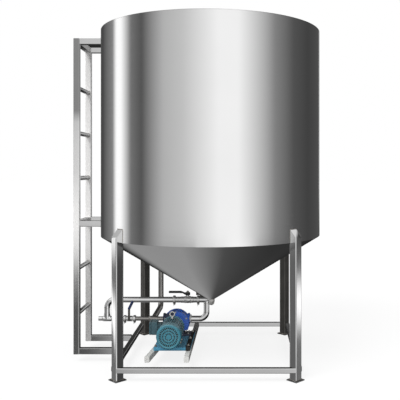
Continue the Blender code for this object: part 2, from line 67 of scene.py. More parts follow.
def finish_piece(name, bm, material, replaces=(), body=TANK):
    """Turn a bmesh about the drum's centre line into a named piece that rides on a body."""
    bmesh.ops.remove_doubles(bm, verts=bm.verts[:], dist=SAME_POINT)
    bmesh.ops.recalc_face_normals(bm, faces=bm.faces[:])
    bmesh.ops.translate(bm, verts=bm.verts[:], vec=(AXIS_X, 0, 0))
    mesh = bpy.data.meshes.new(name)
    bm.to_mesh(mesh)
    bm.free()
    mesh.shade_smooth()
    mesh.set_sharp_from_angle(angle=SHARP)
    mesh.materials.append(material)
    piece = bpy.data.objects.new(name, mesh)
    bpy.context.scene.collection.objects.link(piece)
    flat = piece.modifiers.new("flat_faces_stay_flat", "WEIGHTED_NORMAL")
    flat.keep_sharp = True
    flat.weight = 100
    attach(piece, body)
    if replaces:
        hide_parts(*replaces)
    stands_for = ", ".join(replaces) or "a detail of its own"
    print(f"{name}: {len(mesh.polygons)} faces of {material.name}, for {stands_for}")


print("bends over", round(math.degrees(SHARP)), "degrees stay edges; all of it moves", AXIS_X, "m")

# %% [markdown]
# The camera stands level in front of the tank, a little to the right of its centre line and
# at eye height, and looks straight ahead. Its lens is shifted, as an architect's lens is, so
# that the uprights of the tank stay upright in the picture. Where the picture's horizon and
# its centre of view lie, in pixels, was read from the tank's level edges.

# %% The camera
IMAGE = 400                                                # pixels across and down
FOCAL_PX = 638.0
CENTRE_PX = (244.6, 166.0)                                 # straight ahead, from the top left
CAMERA_AT = (0.3975, -5.63, 1.66)
SENSOR = 36.0                                              # millimetres
camera_data = bpy.data.cameras.new("camera")
camera_data.sensor_width = SENSOR
camera_data.lens = FOCAL_PX * SENSOR / IMAGE
camera_data.shift_x = (IMAGE / 2 - CENTRE_PX[0]) / IMAGE
camera_data.shift_y = (CENTRE_PX[1] - IMAGE / 2) / IMAGE
camera = bpy.data.objects.new("camera", camera_data)
camera.location = CAMERA_AT
camera.rotation_euler = (math.radians(90), 0, 0)
bpy.context.scene.collection.objects.link(camera)
bpy.context.scene.camera = camera
bpy.context.scene.view_settings.view_transform = "Standard"
print(f"lens {camera_data.lens:.2f} mm, shifted {camera_data.shift_x:.4f} across and "
      f"{camera_data.shift_y:.4f} down")

# %% [markdown]
# Shaders are small networks of nodes. One function adds a node, with its settings and its
# links, and another turns the hex colours that paint charts use into the linear values that
# the renderer works in.

# %% Nodes and colours
def linear(hex_colour, alpha=1.0):
    """An sRGB hex colour as linear red, green, blue and alpha."""
    values = []
    for start in (1, 3, 5):
        v = int(hex_colour[start:start + 2], 16) / 255
        values.append(v / 12.92 if v <= 0.04045 else ((v + 0.055) / 1.055) ** 2.4)
    return (*values, alpha)


def plug(node, inputs):
    """Give each named or numbered socket of a node a value, or a link from another's output."""
    for key, value in inputs.items():
        if isinstance(value, bpy.types.NodeSocket):
            node.id_data.links.new(value, node.inputs[key])
        else:
            node.inputs[key].default_value = value


def add(tree, kind, inputs=None, **settings):
    """Add a node with its settings, and plug its sockets."""
    node = tree.nodes.new(kind)
    for key, value in settings.items():
        setattr(node, key, value)
    plug(node, inputs or {})
    return node


def set_ramp(ramp_node, stops):
    """Give a colour ramp its stops, each a position and a linear colour."""
    elements = ramp_node.color_ramp.elements
    while len(elements) > 1:
        elements.remove(elements[-1])
    elements[0].position, elements[0].color = stops[0]
    for position, colour in stops[1:]:
        elements.new(position).color = colour


print("mid grey #808080 is", round(linear("#808080")[0], 4), "in linear light")

# %% [markdown]
# Polished steel has hardly any colour of its own: it shows the room. So the light comes
# first, and it is drawn as a photographer would hang it, as bright and dark strips around the
# tank. The strips are listed by compass angle, where 0 degrees is the camera's side and
# positive angles go to the right. A tall white strip stands at the far left, a wide soft one
# faces the tank, and the right side falls off to dark. Their tones are a few round steps of
# grey, picked so that the bands of the drum come out about as bright as in the photograph.
#
# The world shader gets the direction that a ray leaves in. Its x, y and z are a point on a
# ball round the tank, so the angle round the ball and the height on it are simple sums.

# %% The strips round the tank
STRIPS = [
    (-180, "#505050"), (-145, "#404040"), (-115, "#808080"),                # the room behind
    (-108, "#ffffff"), (-100, "#ffffff"),                                   # the tall strip
    (-85, "#707070"), (-70, "#505050"),                                     # a dim gap
    (-45, "#b0b0b0"), (-25, "#c0c0c0"), (10, "#f0f0f0"), (30, "#f0f0f0"),   # the wide one
    (70, "#808080"), (95, "#505050"), (120, "#404040"), (180, "#505050"),   # it fades to dark
]
LOW_STRIPS = [
    (-180, "#262626"), (-135, "#262626"), (-112, "#666666"), (-95, "#787878"),
    (-88, "#646464"), (-78, "#646464"), (-50, "#808080"), (-22, "#666666"), (-13, "#4a4a4a"),
    (-11, "#b8b8b8"), (5, "#c6c6c6"), (14, "#d8d8d8"), (24, "#ffffff"), (40, "#ffffff"),
    (52, "#7a7a7a"), (66, "#444444"), (85, "#444444"), (94, "#747474"), (112, "#4a4a4a"),
    (135, "#262626"), (180, "#262626"),
]
world = bpy.data.worlds.new("studio")
world.use_nodes = True
bpy.context.scene.world = world
tree = world.node_tree
tree.nodes.clear()
direction = add(tree, "ShaderNodeTexCoord").outputs["Generated"]
parts = add(tree, "ShaderNodeSeparateXYZ", {0: direction})
across, away, high = (parts.outputs[axis] for axis in "XYZ")
toward = add(tree, "ShaderNodeMath", {0: away, 1: -1.0}, operation="MULTIPLY").outputs[0]
compass = add(tree, "ShaderNodeMath", {0: across, 1: toward}, operation="ARCTAN2").outputs[0]
place = add(tree, "ShaderNodeMapRange", {0: compass, 1: -math.pi, 2: math.pi}).outputs[0]
ramps = []
for strips in (STRIPS, LOW_STRIPS):
    ramp = add(tree, "ShaderNodeValToRGB", {0: place})
    set_ramp(ramp, [((angle + 180) / 360, linear(tone)) for angle, tone in strips])
    ramps.append(ramp.outputs[0])
lit, low_light = ramps
print(len(STRIPS), "strips at the drum's height and", len(LOW_STRIPS), "below it")

# %% [markdown]
# Everything else in the studio is a patch that is painted over the strips. A patch has limits,
# and each limit says where it starts and where it is full, so every patch has a soft edge.
#
# - Below the drum's own view the strips are darker, but light where the front rail looks.
# - Straight down, the left is light and the right is dark, which shades the cone.
# - Low white cards at the left and right, out of the drum's view, light the legs half way up.
# - A pale wall at the back right, at the horizon's height, is what the ladder's sides look at.
# - Two dark patches, one behind the tank and one straight below, give pipes and rails thin
#   dark edges.
# - A soft box hangs overhead on the camera's side, so a pipe's far top edge stays dark.

# %% Patches of light and dark
def paint_patch(lit, tone, limits, interpolation="LINEAR"):
    """Lay a tone over the light so far; a limit is a socket, where it starts and is full."""
    share = 1.0
    for socket, start, full in limits:
        inside = add(tree, "ShaderNodeMapRange", {0: socket, 1: start, 2: full},
                     interpolation_type=interpolation)
        share = add(tree, "ShaderNodeMath", {0: inside.outputs[0], 1: share},
                    operation="MULTIPLY").outputs[0]
    return add(tree, "ShaderNodeMix", {0: share, 6: lit, 7: tone}, data_type="RGBA").outputs[2]


def band(socket, middle, reach, core):
    """Two limits that shut in a middle: nothing beyond the reach, and full in the core."""
    return [(socket, middle + reach, middle + core), (socket, middle - reach, middle - core)]


below = add(tree, "ShaderNodeMapRange", {0: across, 1: -0.45, 2: 0.45})
below_light = add(tree, "ShaderNodeValToRGB", {0: below.outputs[0]})
set_ramp(below_light, [(0.0, linear("#868686")), (0.30, linear("#8c8c8c")),
                       (0.42, linear("#747474")), (0.54, linear("#484848")),
                       (0.75, linear("#303030")), (1.0, linear("#262626"))])
lit = paint_patch(lit, low_light, [(high, -0.120, -0.155)])
lit = paint_patch(lit, below_light.outputs[0], [(high, -0.34, -0.52)])

CARD_LIGHT = (1.3, 1.3, 1.3, 1)
for angle, drop in ((-101, -0.232), (96, -0.209)):
    lit = paint_patch(lit, CARD_LIGHT, band(high, drop, 0.055, 0.006)
                      + band(compass, math.radians(angle), 0.17, 0.09), "SMOOTHSTEP")
lit = paint_patch(lit, linear("#a9a9a9"), band(compass, math.radians(168), 0.16, 0.10)
                  + band(high, 0.10, 0.20, 0.13))
lit = paint_patch(lit, linear("#262625"), [(high, 0.21, 0.25), (away, 0.72, 0.82)])
lit = paint_patch(lit, linear("#1c1c1c"), [(high, -0.50, -0.65), (away, 0.46, 0.34),
                                           (away, -0.45, -0.30), (across, 0.30, 0.18),
                                           (across, -0.30, -0.18)])
sideways = add(tree, "ShaderNodeMath", {0: across}, operation="ABSOLUTE").outputs[0]
farther = add(tree, "ShaderNodeMath", {0: away, 1: sideways}, operation="SUBTRACT").outputs[0]
lit = paint_patch(lit, linear("#ffffff"), [(high, 0.42, 0.72), (farther, 0.15, -0.20)])
print(len(tree.nodes), "nodes in the studio")

# %% [markdown]
# Rays that go straight to the camera see plain white, so the backdrop stays plain, while the
# steel still mirrors the strips. A soft sun from the upper left gives the painted motor and
# the bars a lit side and a shaded side. Its disc is wide, so no shadow has a hard edge, and
# no mirror shows it.
#
# The floor is nearly white: most of it is plain light, as on a light table, and a small share
# of it takes the shadows, so the feet are seen to stand on it.

# %% The backdrop, the key light and the floor
STUDIO_GAIN = 1.30                                         # strength of strips and patches
SUN_ENERGY, SUN_WIDTH = 1.6, math.radians(28)
SUN_FROM = Vector((-0.45, -0.62, 0.95))                    # left, in front and above
FLOOR_GLOW, FLOOR_MATT = 0.84, 0.16                        # plain light, and what shadows dim
FLOOR_HALF = 60.0                                          # metres from the middle to an edge
studio = add(tree, "ShaderNodeBackground", {"Color": lit, "Strength": STUDIO_GAIN})
backdrop = add(tree, "ShaderNodeBackground", {"Color": linear("#ffffff"), "Strength": 1.0})
seen = add(tree, "ShaderNodeLightPath").outputs["Is Camera Ray"]
either = add(tree, "ShaderNodeMixShader", {0: seen, 1: studio.outputs[0], 2: backdrop.outputs[0]})
add(tree, "ShaderNodeOutputWorld", {"Surface": either.outputs[0]})

sun_data = bpy.data.lights.new("key", "SUN")
sun_data.energy = SUN_ENERGY
sun_data.angle = SUN_WIDTH
sun = bpy.data.objects.new("key", sun_data)
sun.rotation_euler = SUN_FROM.to_track_quat("Z", "Y").to_euler()
bpy.context.scene.collection.objects.link(sun)
sun.visible_glossy = False

floor_material = bpy.data.materials.new("pale_light_table")
floor_material.use_nodes = True
tree = floor_material.node_tree
tree.nodes.clear()
glow = add(tree, "ShaderNodeEmission", {"Color": linear("#ffffff"), "Strength": FLOOR_GLOW})
matt = add(tree, "ShaderNodeBsdfDiffuse", {"Color": (FLOOR_MATT, FLOOR_MATT, FLOOR_MATT, 1)})
both = add(tree, "ShaderNodeAddShader", {0: glow.outputs[0], 1: matt.outputs[0]})
add(tree, "ShaderNodeOutputMaterial", {"Surface": both.outputs[0]})
bm = bmesh.new()
bmesh.ops.create_grid(bm, x_segments=1, y_segments=1, size=FLOOR_HALF)
floor_mesh = bpy.data.meshes.new("floor")
bm.to_mesh(floor_mesh)
bm.free()
floor_mesh.materials.append(floor_material)
floor = bpy.data.objects.new("floor", floor_mesh)
bpy.context.scene.collection.objects.link(floor)
floor.visible_glossy = False
floor.visible_diffuse = False
print(f"sun of strength {SUN_ENERGY}, {math.degrees(SUN_WIDTH):.0f} degrees wide; floor "
      f"{2 * FLOOR_HALF:.0f} m square")

# %% [markdown]
# ## Finishes
#
# Stainless sheet is cold-rolled and then brushed or polished, so it has a grain: fine lines
# that all run one way. On the drum they run round it, because the plates are brushed before
# they are rolled. The real lines are about a tenth of a millimetre apart, which a picture of
# the whole tank can't show, so they are drawn about 6 mm apart and very faint. They change
# how sharply the surface reflects more than they change its colour.
#
# One function makes every steel here. Its grain is given as lines in a metre along X, Y and
# Z: 170 are lines 6 mm apart, 110 are lines 9 mm apart, and 260 to 300 are grit of 3 to 4 mm,
# each drawn coarser than the real 0.1 to 0.5 mm. Clouds of stain are drawn a few times a
# metre.

# %% How a steel is made
def new_material(name):
    """A material with the usual shader, and the tree that the shader sits in."""
    material = bpy.data.materials.new(name)
    material.use_nodes = True
    return material, material.node_tree, material.node_tree.nodes["Principled BSDF"]


def stretched_noise(tree, scale, detail=3.0, roughness=0.55, centre=(0, 0, 0)):
    """Noise on Object coordinates; scale is how many grains fit in a metre along x, y and z."""
    where = add(tree, "ShaderNodeTexCoord").outputs["Object"]
    mapped = add(tree, "ShaderNodeMapping", {"Vector": where, "Scale": scale, "Location": centre})
    noise = add(tree, "ShaderNodeTexNoise", {"Vector": mapped.outputs[0], "Scale": 1.0,
                                             "Detail": detail, "Roughness": roughness})
    return noise.outputs["Fac"]


def coat(tree, shader, colour, variation, rough, height, depth, strength=1.0):
    """Give a shader its colour, a gloss that follows a variation, and a skin of fine bumps."""
    gloss = add(tree, "ShaderNodeMapRange", {0: variation, 1: 0.3, 2: 0.7,
                                             3: rough[0], 4: rough[1]})
    skin = add(tree, "ShaderNodeBump", {"Height": height, "Distance": depth,
                                        "Strength": strength})
    plug(shader, {"Base Color": colour, "Roughness": gloss.outputs[0],
                  "Normal": skin.outputs[0]})


def steel(name, tone, dull_tone, rough, grain, bump=0.00002, stain=2.5, metallic=1.0):
    """Stainless steel: a grain that changes the gloss, and wide faint clouds in the colour."""
    material, tree, shader = new_material(name)
    lines = stretched_noise(tree, grain, detail=4.0)
    clouds = stretched_noise(tree, (stain, stain, stain), detail=2.0, centre=(3.1, 0.7, 1.9))
    colour = add(tree, "ShaderNodeMix", {0: clouds, 6: linear(dull_tone), 7: linear(tone)},
                 data_type="RGBA")
    coat(tree, shader, colour.outputs[2], lines, rough, lines, bump)
    shader.inputs["Metallic"].default_value = metallic
    print(f"{name}: roughness {rough[0]} to {rough[1]}, metallic {metallic}")
    return material


FINE, COARSE = 0.00001, 0.00002                            # depth of the grain, metres
# Rolled and brushed: clear reflections, smeared a little up and down.
brushed_sheet = steel("brushed_stainless_sheet", "#e5e5e5", "#e0e0e0", (0.08, 0.13),
                      (1, 1, 170), FINE)

# %% [markdown]
# The other polished steels are nearly mirrors too, and differ in the way that their grain
# runs. The dull ones scatter the studio into soft greys, as tube that was never polished,
# castings and zinc coats do.

# %% The other steels
# Square tube, satin along its length: bright streaks that run with the bar.
tube_upright = steel("satin_tube_upright", "#dcdcdc", "#cccccc", (0.06, 0.11),
                     (110, 110, 3), FINE, 4.0)
tube_along_x = steel("satin_tube_along_x", "#d8d8d8", "#c8c8c8", (0.07, 0.12),
                     (3, 110, 110), FINE, 4.0)
tube_along_y = steel("satin_tube_along_y", "#d2d2d2", "#c2c2c2", (0.14, 0.22),
                     (110, 3, 110), FINE, 4.0)
# Painted highlights in zones, which the next cells add: from a mirror to a white scatter.
ladder_tube = steel("ladder_tube_painted_highlights", "#dcdcdc", "#cccccc", (0.08, 0.14),
                    (110, 110, 3), FINE, 4.0)
# Tube as it was drawn, or as the mill left it: a soft grey without clear reflections.
drawn_tube = steel("drawn_tube_not_polished", "#a3a19e", "#878583", (0.26, 0.40),
                   (60, 60, 60), COARSE, 7.0)
# On the rear posts this dark grey is painted shade; on the lower lever's strap it is the steel's
# own.
mill_tube_and_painted_shade = steel("mill_finish_and_painted_shade_tube", "#6f6d6a", "#4c4b49", (0.30, 0.46),
                  (90, 90, 4), COARSE, 7.0)
# Zinc coats: pale and nearly matt, with clouded patches.
galvanised = steel("galvanised_bar", "#eeeeeb", "#cfcfcc", (0.42, 0.58),
                   (60, 60, 60), COARSE, 12.0, 0.25)
skid_bar = steel("galvanised_skid_bar", "#f8f8f5", "#e0e0dd", (0.42, 0.58),
                 (60, 60, 60), COARSE, 12.0, 0.15)
zinc = steel("zinc_plated_steel", "#b9b9b2", "#9d9d97", (0.30, 0.45),
             (300, 300, 300), 0.00005, 40.0)
# Dark plate that hardly shines: painted shade, on the hanger and the base's right edge, which lie
# in shade.
painted_shade_plate = steel("plate_of_painted_shade", "#54524f", "#393836", (0.35, 0.50),
                   (60, 60, 60), COARSE, 20.0)
# Sanitary tube, polished round: a mirror.
sanitary = steel("polished_sanitary_tube", "#e1e1e1", "#d5d5d5", (0.05, 0.10),
                 (40, 40, 40), FINE, 9.0)
# Castings keep the skin of their mould: a broken, sandy shine, whiter where blasted.
cast_steel = steel("investment_cast_stainless", "#dcdcdb", "#c6c6c5", (0.22, 0.36),
                   (260, 260, 260), 0.00012, 14.0)
cast_elbow = steel("bead_blasted_cast_elbow", "#f2f1ee", "#e0deda", (0.45, 0.60),
                   (260, 260, 260), 0.00012, 14.0, 0.5)

# %% [markdown]
# The ladder frame carries painted highlights and painted shade: white, scattering zones stand in
# for the light that its tube reflects. On the front upright the painted highlight is strongest at
# chest height, and above 2.1 m a darker painted shade lies over it. The rear upright gets whiter
# all the way up. Each zone is a ramp over height, and where a white zone lies, the metal doesn't
# show.

# %% The ladder's painted highlights and shade
LADDER_HIGH = 3.0                                          # metres of height in one ramp
# Painted highlight by height on each upright, and painted shade high on the front one.
FRONT_PAINTED_HIGHLIGHT = [(0.45, 0.0), (0.70, 0.25), (0.90, 0.62), (1.15, 0.95), (1.30, 0.85),
               (1.60, 0.35), (2.00, 0.05), (2.12, 0.0)]
REAR_PAINTED_HIGHLIGHT = [(0.45, 0.50), (0.80, 0.65), (1.20, 0.95), (2.60, 1.0)]
FRONT_PAINTED_SHADE = [(2.03, 1.0), (2.13, 0.43)]
tree = ladder_tube.node_tree
shader = tree.nodes["Principled BSDF"]
place = add(tree, "ShaderNodeSeparateXYZ",
            {0: add(tree, "ShaderNodeTexCoord").outputs["Object"]})
height = add(tree, "ShaderNodeMath", {0: place.outputs["Z"], 1: LADDER_HIGH},
             operation="DIVIDE").outputs[0]
is_front = add(tree, "ShaderNodeMapRange", {0: place.outputs["Y"], 1: 0.10, 2: -0.10}).outputs[0]
zones = []
for stops in (FRONT_PAINTED_HIGHLIGHT, REAR_PAINTED_HIGHLIGHT, FRONT_PAINTED_SHADE):
    ramp = add(tree, "ShaderNodeValToRGB", {0: height})
    set_ramp(ramp, [(z / LADDER_HIGH, (v, v, v, 1)) for z, v in stops])
    zones.append(ramp.outputs[0])
front_highlight, rear_highlight, front_shade = zones
painted_highlight = add(tree, "ShaderNodeMix", {0: is_front, 6: rear_highlight, 7: front_highlight},
            data_type="RGBA").outputs[2]
painted_shade = add(tree, "ShaderNodeMix", {0: is_front, 6: (1, 1, 1, 1), 7: front_shade},
           data_type="RGBA").outputs[2]
unhighlighted_metal = add(tree, "ShaderNodeMath", {0: 1.0, 1: painted_highlight}, operation="SUBTRACT").outputs[0]
satin = shader.inputs["Base Color"].links[0].from_socket
whiter = add(tree, "ShaderNodeMix", {0: painted_highlight, 6: satin, 7: linear("#fcfbfa")},
             data_type="RGBA").outputs[2]
with_painted_shade = add(tree, "ShaderNodeMix", {0: 1.0, 6: whiter, 7: painted_shade},
             data_type="RGBA", blend_type="MULTIPLY").outputs[2]
plug(shader, {"Base Color": with_painted_shade, "Metallic": unhighlighted_metal})
print("ladder zones start at", [stops[0][0] for stops in (FRONT_PAINTED_HIGHLIGHT, REAR_PAINTED_HIGHLIGHT)], "m")

# %% [markdown]
# A weld that has been cleaned is a row of fine ripples, a little duller than the sheet, and
# the heat leaves a straw and blue-grey stain beside it. The beads are separate thin rings and
# strips, and the stain is in their colour. The ripples of a hand weld are about a millimetre
# apart. They are drawn 4 mm apart, so that they can be seen at all.

# %% Weld beads
WELD_PITCH = 0.004
weld, tree, shader = new_material("cleaned_weld_bead")
heat = stretched_noise(tree, (30, 30, 30), detail=3.0)
stain_colour = add(tree, "ShaderNodeValToRGB", {0: heat})
set_ramp(stain_colour, [(0.30, linear("#8f8a86")), (0.50, linear("#b3aea6")),
                        (0.70, linear("#a79c8b"))])
ripples = stretched_noise(tree, (1 / WELD_PITCH,) * 3, detail=1.0)
ripple = add(tree, "ShaderNodeBump", {"Height": ripples, "Distance": 0.0006, "Strength": 0.8})
plug(shader, {"Base Color": stain_colour.outputs[0], "Normal": ripple.outputs[0]})
shader.inputs["Metallic"].default_value = 1.0
shader.inputs["Roughness"].default_value = 0.38
print("weld ripples every", WELD_PITCH * 1000, "mm")

# %% [markdown]
# The two bars under the pump are zinc coated. Their front ends are pale. Behind the base's front
# edge they darken to a painted shadow, where the tank's shade falls on them.

# %% The skid bars' painted shadow
# Painted shadow: the bars darken along their length behind the base's front edge.
SHADOW_FROM, SHADOW_FULL = -0.24, -0.05                          # metres along the bar
tree = skid_bar.node_tree
shader = tree.nodes["Principled BSDF"]
along = add(tree, "ShaderNodeSeparateXYZ",
            {0: add(tree, "ShaderNodeTexCoord").outputs["Object"]})
painted_shadow_share = add(tree, "ShaderNodeMapRange", {0: along.outputs["Y"], 1: SHADOW_FROM, 2: SHADOW_FULL,
                                        3: 0.0, 4: 0.8}).outputs[0]
zinc_tone = shader.inputs["Base Color"].links[0].from_socket
zinc_with_painted_shadow = add(tree, "ShaderNodeMix", {0: painted_shadow_share, 6: zinc_tone, 7: linear("#2f2d2a")},
             data_type="RGBA")
plug(shader, {"Base Color": zinc_with_painted_shadow.outputs[2]})
print("painted_shadow from y =", SHADOW_FROM, "m")

# %% [markdown]
# The pump set is painted with alkyd enamel over cast and pressed iron. Enamel is glossy but
# never quite flat: it dries with a fine orange-peel skin, drawn here at 3 mm. Handling rubs it
# thin along edges, and dust settles on what faces up; laid thick, this pale film is also painted
# light on the top. The worn edges are found with a Bevel node: where its rounded normal leans
# away from the true one, there is an edge nearby.

# %% Paint
PEEL_PER_METRE = 320


def enamel(name, tone, deep_tone, worn_tone, rough, dust_and_top_light=0.22):
    """Glossy paint with deeper patches, rubbed edges and dust on what faces up."""
    material, tree, shader = new_material(name)
    patches = stretched_noise(tree, (14, 14, 14), detail=4.0)
    colour = add(tree, "ShaderNodeMix", {0: patches, 6: linear(deep_tone), 7: linear(tone)},
                 data_type="RGBA").outputs[2]
    rounded = add(tree, "ShaderNodeBevel", {"Radius": 0.0025}, samples=4).outputs[0]
    true_normal = add(tree, "ShaderNodeNewGeometry").outputs["Normal"]
    lean = add(tree, "ShaderNodeVectorMath", {0: rounded, 1: true_normal},
               operation="DOT_PRODUCT").outputs["Value"]
    rubbed = add(tree, "ShaderNodeMapRange", {0: lean, 1: 0.985, 2: 0.88}).outputs[0]
    scratches = stretched_noise(tree, (120, 120, 120), detail=5.0, roughness=0.7)
    broken = add(tree, "ShaderNodeMapRange", {0: scratches, 1: 0.48, 2: 0.62}).outputs[0]
    wear = add(tree, "ShaderNodeMath", {0: rubbed, 1: broken}, operation="MULTIPLY").outputs[0]
    facing = add(tree, "ShaderNodeSeparateXYZ", {0: true_normal}).outputs["Z"]
    # Dust on what faces up; where it is strong, it is also painted light on top.
    upward = add(tree, "ShaderNodeMapRange", {0: facing, 1: 0.55, 2: 1.0, 3: 0.0, 4: dust_and_top_light})
    dust_and_top_light_share = add(tree, "ShaderNodeMath", {0: upward.outputs[0], 1: patches},
                operation="MULTIPLY").outputs[0]
    worn = add(tree, "ShaderNodeMix", {0: wear, 6: colour, 7: linear(worn_tone)},
               data_type="RGBA").outputs[2]
    with_dust_and_top_light = add(tree, "ShaderNodeMix", {0: dust_and_top_light_share, 6: worn, 7: linear("#b6b2a8")},
                 data_type="RGBA").outputs[2]
    peel = stretched_noise(tree, (PEEL_PER_METRE,) * 3, detail=1.5)
    coat(tree, shader, with_dust_and_top_light, patches, rough, peel, 0.0003, 0.35)
    shader.inputs["IOR"].default_value = 1.5
    print(f"{name}: {tone}, dust {dust_and_top_light}")
    return material


# Full, slightly faded tones with a soft highlight, greyer on top where dust lies. On the motor the
# dust is laid so thick that it is also painted light, lightening its top.
teal_enamel = enamel("teal_motor_enamel", "#4a94a6", "#3b7f92", "#9fc0c6", (0.28, 0.42), 0.75)
grey_teal_enamel = enamel("grey_teal_box_enamel", "#4a6b75", "#385660", "#8fa5a9", (0.34, 0.48))
sky_enamel = enamel("light_blue_base_enamel", "#58a6c8", "#4492b4", "#b9c9cf", (0.34, 0.48))
blue_enamel = enamel("bright_blue_pump_enamel", "#1c68d8", "#1453b8", "#7f9fd4", (0.24, 0.38))
navy_enamel = enamel("dark_navy_enamel", "#232f4e", "#1a2238", "#55607a", (0.34, 0.50))

# %% [markdown]
# The valve levers are dipped in soft PVC: a thick skin with a dull sheen, slightly uneven,
# and finely pitted where hands and gloves have rubbed it. The pits are about 1.4 mm apart.
# The seals and the cable gland are black rubber and nylon of the same kind.

# %% Grips and rubber
PITS_PER_METRE = 700


def dipped_plastic(name, tone, worn_tone, rough):
    """A soft dull skin, paler where it is rubbed, with fine pits."""
    material, tree, shader = new_material(name)
    rub = stretched_noise(tree, (70, 70, 70), detail=4.0)
    pits = stretched_noise(tree, (PITS_PER_METRE,) * 3, detail=1.0)
    colour = add(tree, "ShaderNodeMix", {0: rub, 6: linear(tone), 7: linear(worn_tone)},
                 data_type="RGBA")
    coat(tree, shader, colour.outputs[2], rub, rough, pits, 0.0002, 0.5)
    print(f"{name}: {tone}, rubbed to {worn_tone}")
    return material


# Nearly black or navy, with a wide dull highlight and no clear reflection.
black_grip = dipped_plastic("black_dipped_pvc", "#17181a", "#2b2c2e", (0.38, 0.55))
navy_grip = dipped_plastic("navy_dipped_pvc", "#1c2a4f", "#2c3b63", (0.40, 0.55))
rubber = dipped_plastic("black_rubber", "#1d1d1d", "#303030", (0.55, 0.70))

# %% [markdown]
# ## Shapes that come up again and again
#
# Every part of a piece is made in a bmesh of its own, where its sums are simple, and is then
# moved and joined to the piece. Real edges are never razor sharp, so they are rounded, and a
# casting can be cut off flat.

# %% Joining, rounding and cutting
def turned_to(axis, centre):
    """The matrix that stands local Z along an axis and puts the origin at a centre."""
    spin = UP.rotation_difference(Vector(axis).normalized())
    return Matrix.Translation(Vector(centre)) @ spin.to_matrix().to_4x4()


def join(bm, other, matrix=Matrix.Identity(4)):
    """Move another bmesh and copy it into this one."""
    bmesh.ops.transform(other, matrix=matrix, verts=other.verts[:])
    mesh = bpy.data.meshes.new("part")
    other.to_mesh(mesh)
    other.free()
    bm.from_mesh(mesh)
    bpy.data.meshes.remove(mesh)


def round_edges(bm, edges, offset, segments, **settings):
    """Give edges a round bevel."""
    bmesh.ops.bevel(bm, geom=edges, offset=offset, segments=segments, affect="EDGES",
                    profile=0.5, material=-1, **settings)


def cut_off(bm, point, outward):
    """Cut a shape with a plane, drop what lies outward of it, and close the cut."""
    bmesh.ops.bisect_plane(bm, geom=bm.verts[:] + bm.edges[:] + bm.faces[:], plane_co=point,
                           plane_no=outward, clear_outer=True)
    bmesh.ops.holes_fill(bm, edges=[e for e in bm.edges if len(e.link_faces) == 1])


def spokes(across, count, start=0.5):
    """Directions evenly spaced round X or Y; start is how many steps round the first one is."""
    for i in range(count):
        angle = math.tau * (i + start) / count
        first, second = math.cos(angle), math.sin(angle)
        yield Vector((0, first, second)) if across == ALONG_X else Vector((first, 0, second))


print("four spokes round Y:", [tuple(round(v, 2) for v in way) for way in spokes(ALONG_Y, 4)])

# %% [markdown]
# Two shapes cover most of a welded tank. A lathe shape is a line of points spun round an
# axis, as turned and rolled parts are. A bar is a cube whose edges are rounded.

# %% Lathe and bar
def lathe(bm, profile, centre=(0, 0, 0), axis=UP, steps=48, closed=False):
    """Spin a line of (radius, distance along the axis) points into a solid or a ring."""
    local = bmesh.new()
    verts = [local.verts.new((r, 0, t)) for r, t in profile]
    edges = [local.edges.new(pair) for pair in zip(verts, verts[1:])]
    if closed:
        edges.append(local.edges.new((verts[-1], verts[0])))
    bmesh.ops.spin(local, geom=verts + edges, cent=(0, 0, 0), axis=(0, 0, 1),
                   angle=math.tau, steps=steps, use_merge=True)
    bmesh.ops.remove_doubles(local, verts=local.verts[:], dist=0.000005)
    bmesh.ops.recalc_face_normals(local, faces=local.faces[:])
    join(bm, local, turned_to(axis, centre))


def bar(bm, low, high, round_edge=0.003, segments=2, matrix=Matrix.Identity(4)):
    """A cube between two corners with its edges rounded."""
    low, high = Vector(low), Vector(high)
    local = bmesh.new()
    bmesh.ops.create_cube(local, size=1.0)
    bmesh.ops.scale(local, vec=high - low, verts=local.verts[:])
    bmesh.ops.translate(local, vec=(low + high) / 2, verts=local.verts[:])
    round_edges(local, local.edges[:], round_edge, segments)
    join(bm, local, matrix)


trial = bmesh.new()
bar(trial, (0, 0, 0), (0.1, 0.1, 0.1))
print("a rounded bar has", len(trial.faces), "faces")
trial.free()

# %% [markdown]
# A pipe is a ring that is pushed along, and spun round a corner wherever the pipe bends. It is
# drawn as a pipe fitter thinks of it: so far straight, then an elbow. The function gives back
# the point where the pipe ends.

# %% Pipe
BEND_STEPS = 12


def pipe(bm, radius, start, heading, moves, steps=32):
    """Push a ring along: a number is a straight run, (toward, bend) turns square that way."""
    local = bmesh.new()
    here, heading = Vector(start), Vector(heading).normalized()
    bmesh.ops.create_circle(local, segments=steps, radius=radius, matrix=turned_to(heading, here))
    ring = local.edges[:]
    for move in moves:
        if isinstance(move, (int, float)):
            grown = bmesh.ops.extrude_edge_only(local, edges=ring)["geom"]
            step = heading * move
            bmesh.ops.translate(local, vec=step, verts=[g for g in grown if
                                                        isinstance(g, bmesh.types.BMVert)])
            ring = [g for g in grown if isinstance(g, bmesh.types.BMEdge)
                    and len(g.link_faces) == 1]
            here = here + step
        else:
            toward, bend = Vector(move[0]).normalized(), move[1]
            turn = heading.angle(toward)
            centre = here + (toward - heading * heading.dot(toward)).normalized() * bend
            grown = bmesh.ops.spin(local, geom=ring, cent=centre, axis=heading.cross(toward),
                                   angle=turn, steps=BEND_STEPS)["geom_last"]
            ring = [g for g in grown if isinstance(g, bmesh.types.BMEdge)]
            here = centre + Matrix.Rotation(turn, 3, heading.cross(toward)) @ (here - centre)
            heading = toward
    bmesh.ops.holes_fill(local, edges=local.edges[:])
    join(bm, local)
    return here


trial = bmesh.new()
print("a trial elbow ends at", pipe(trial, 0.02, (0, 0, 0), UP, [0.1, (ALONG_X, 0.05), 0.1])[:])
trial.free()

# %% [markdown]
# Bolts and weld beads are small, but they catch the light wherever two parts meet. A bolt is a
# six-sided head on a washer. A round bead is a thin ring with a domed section.

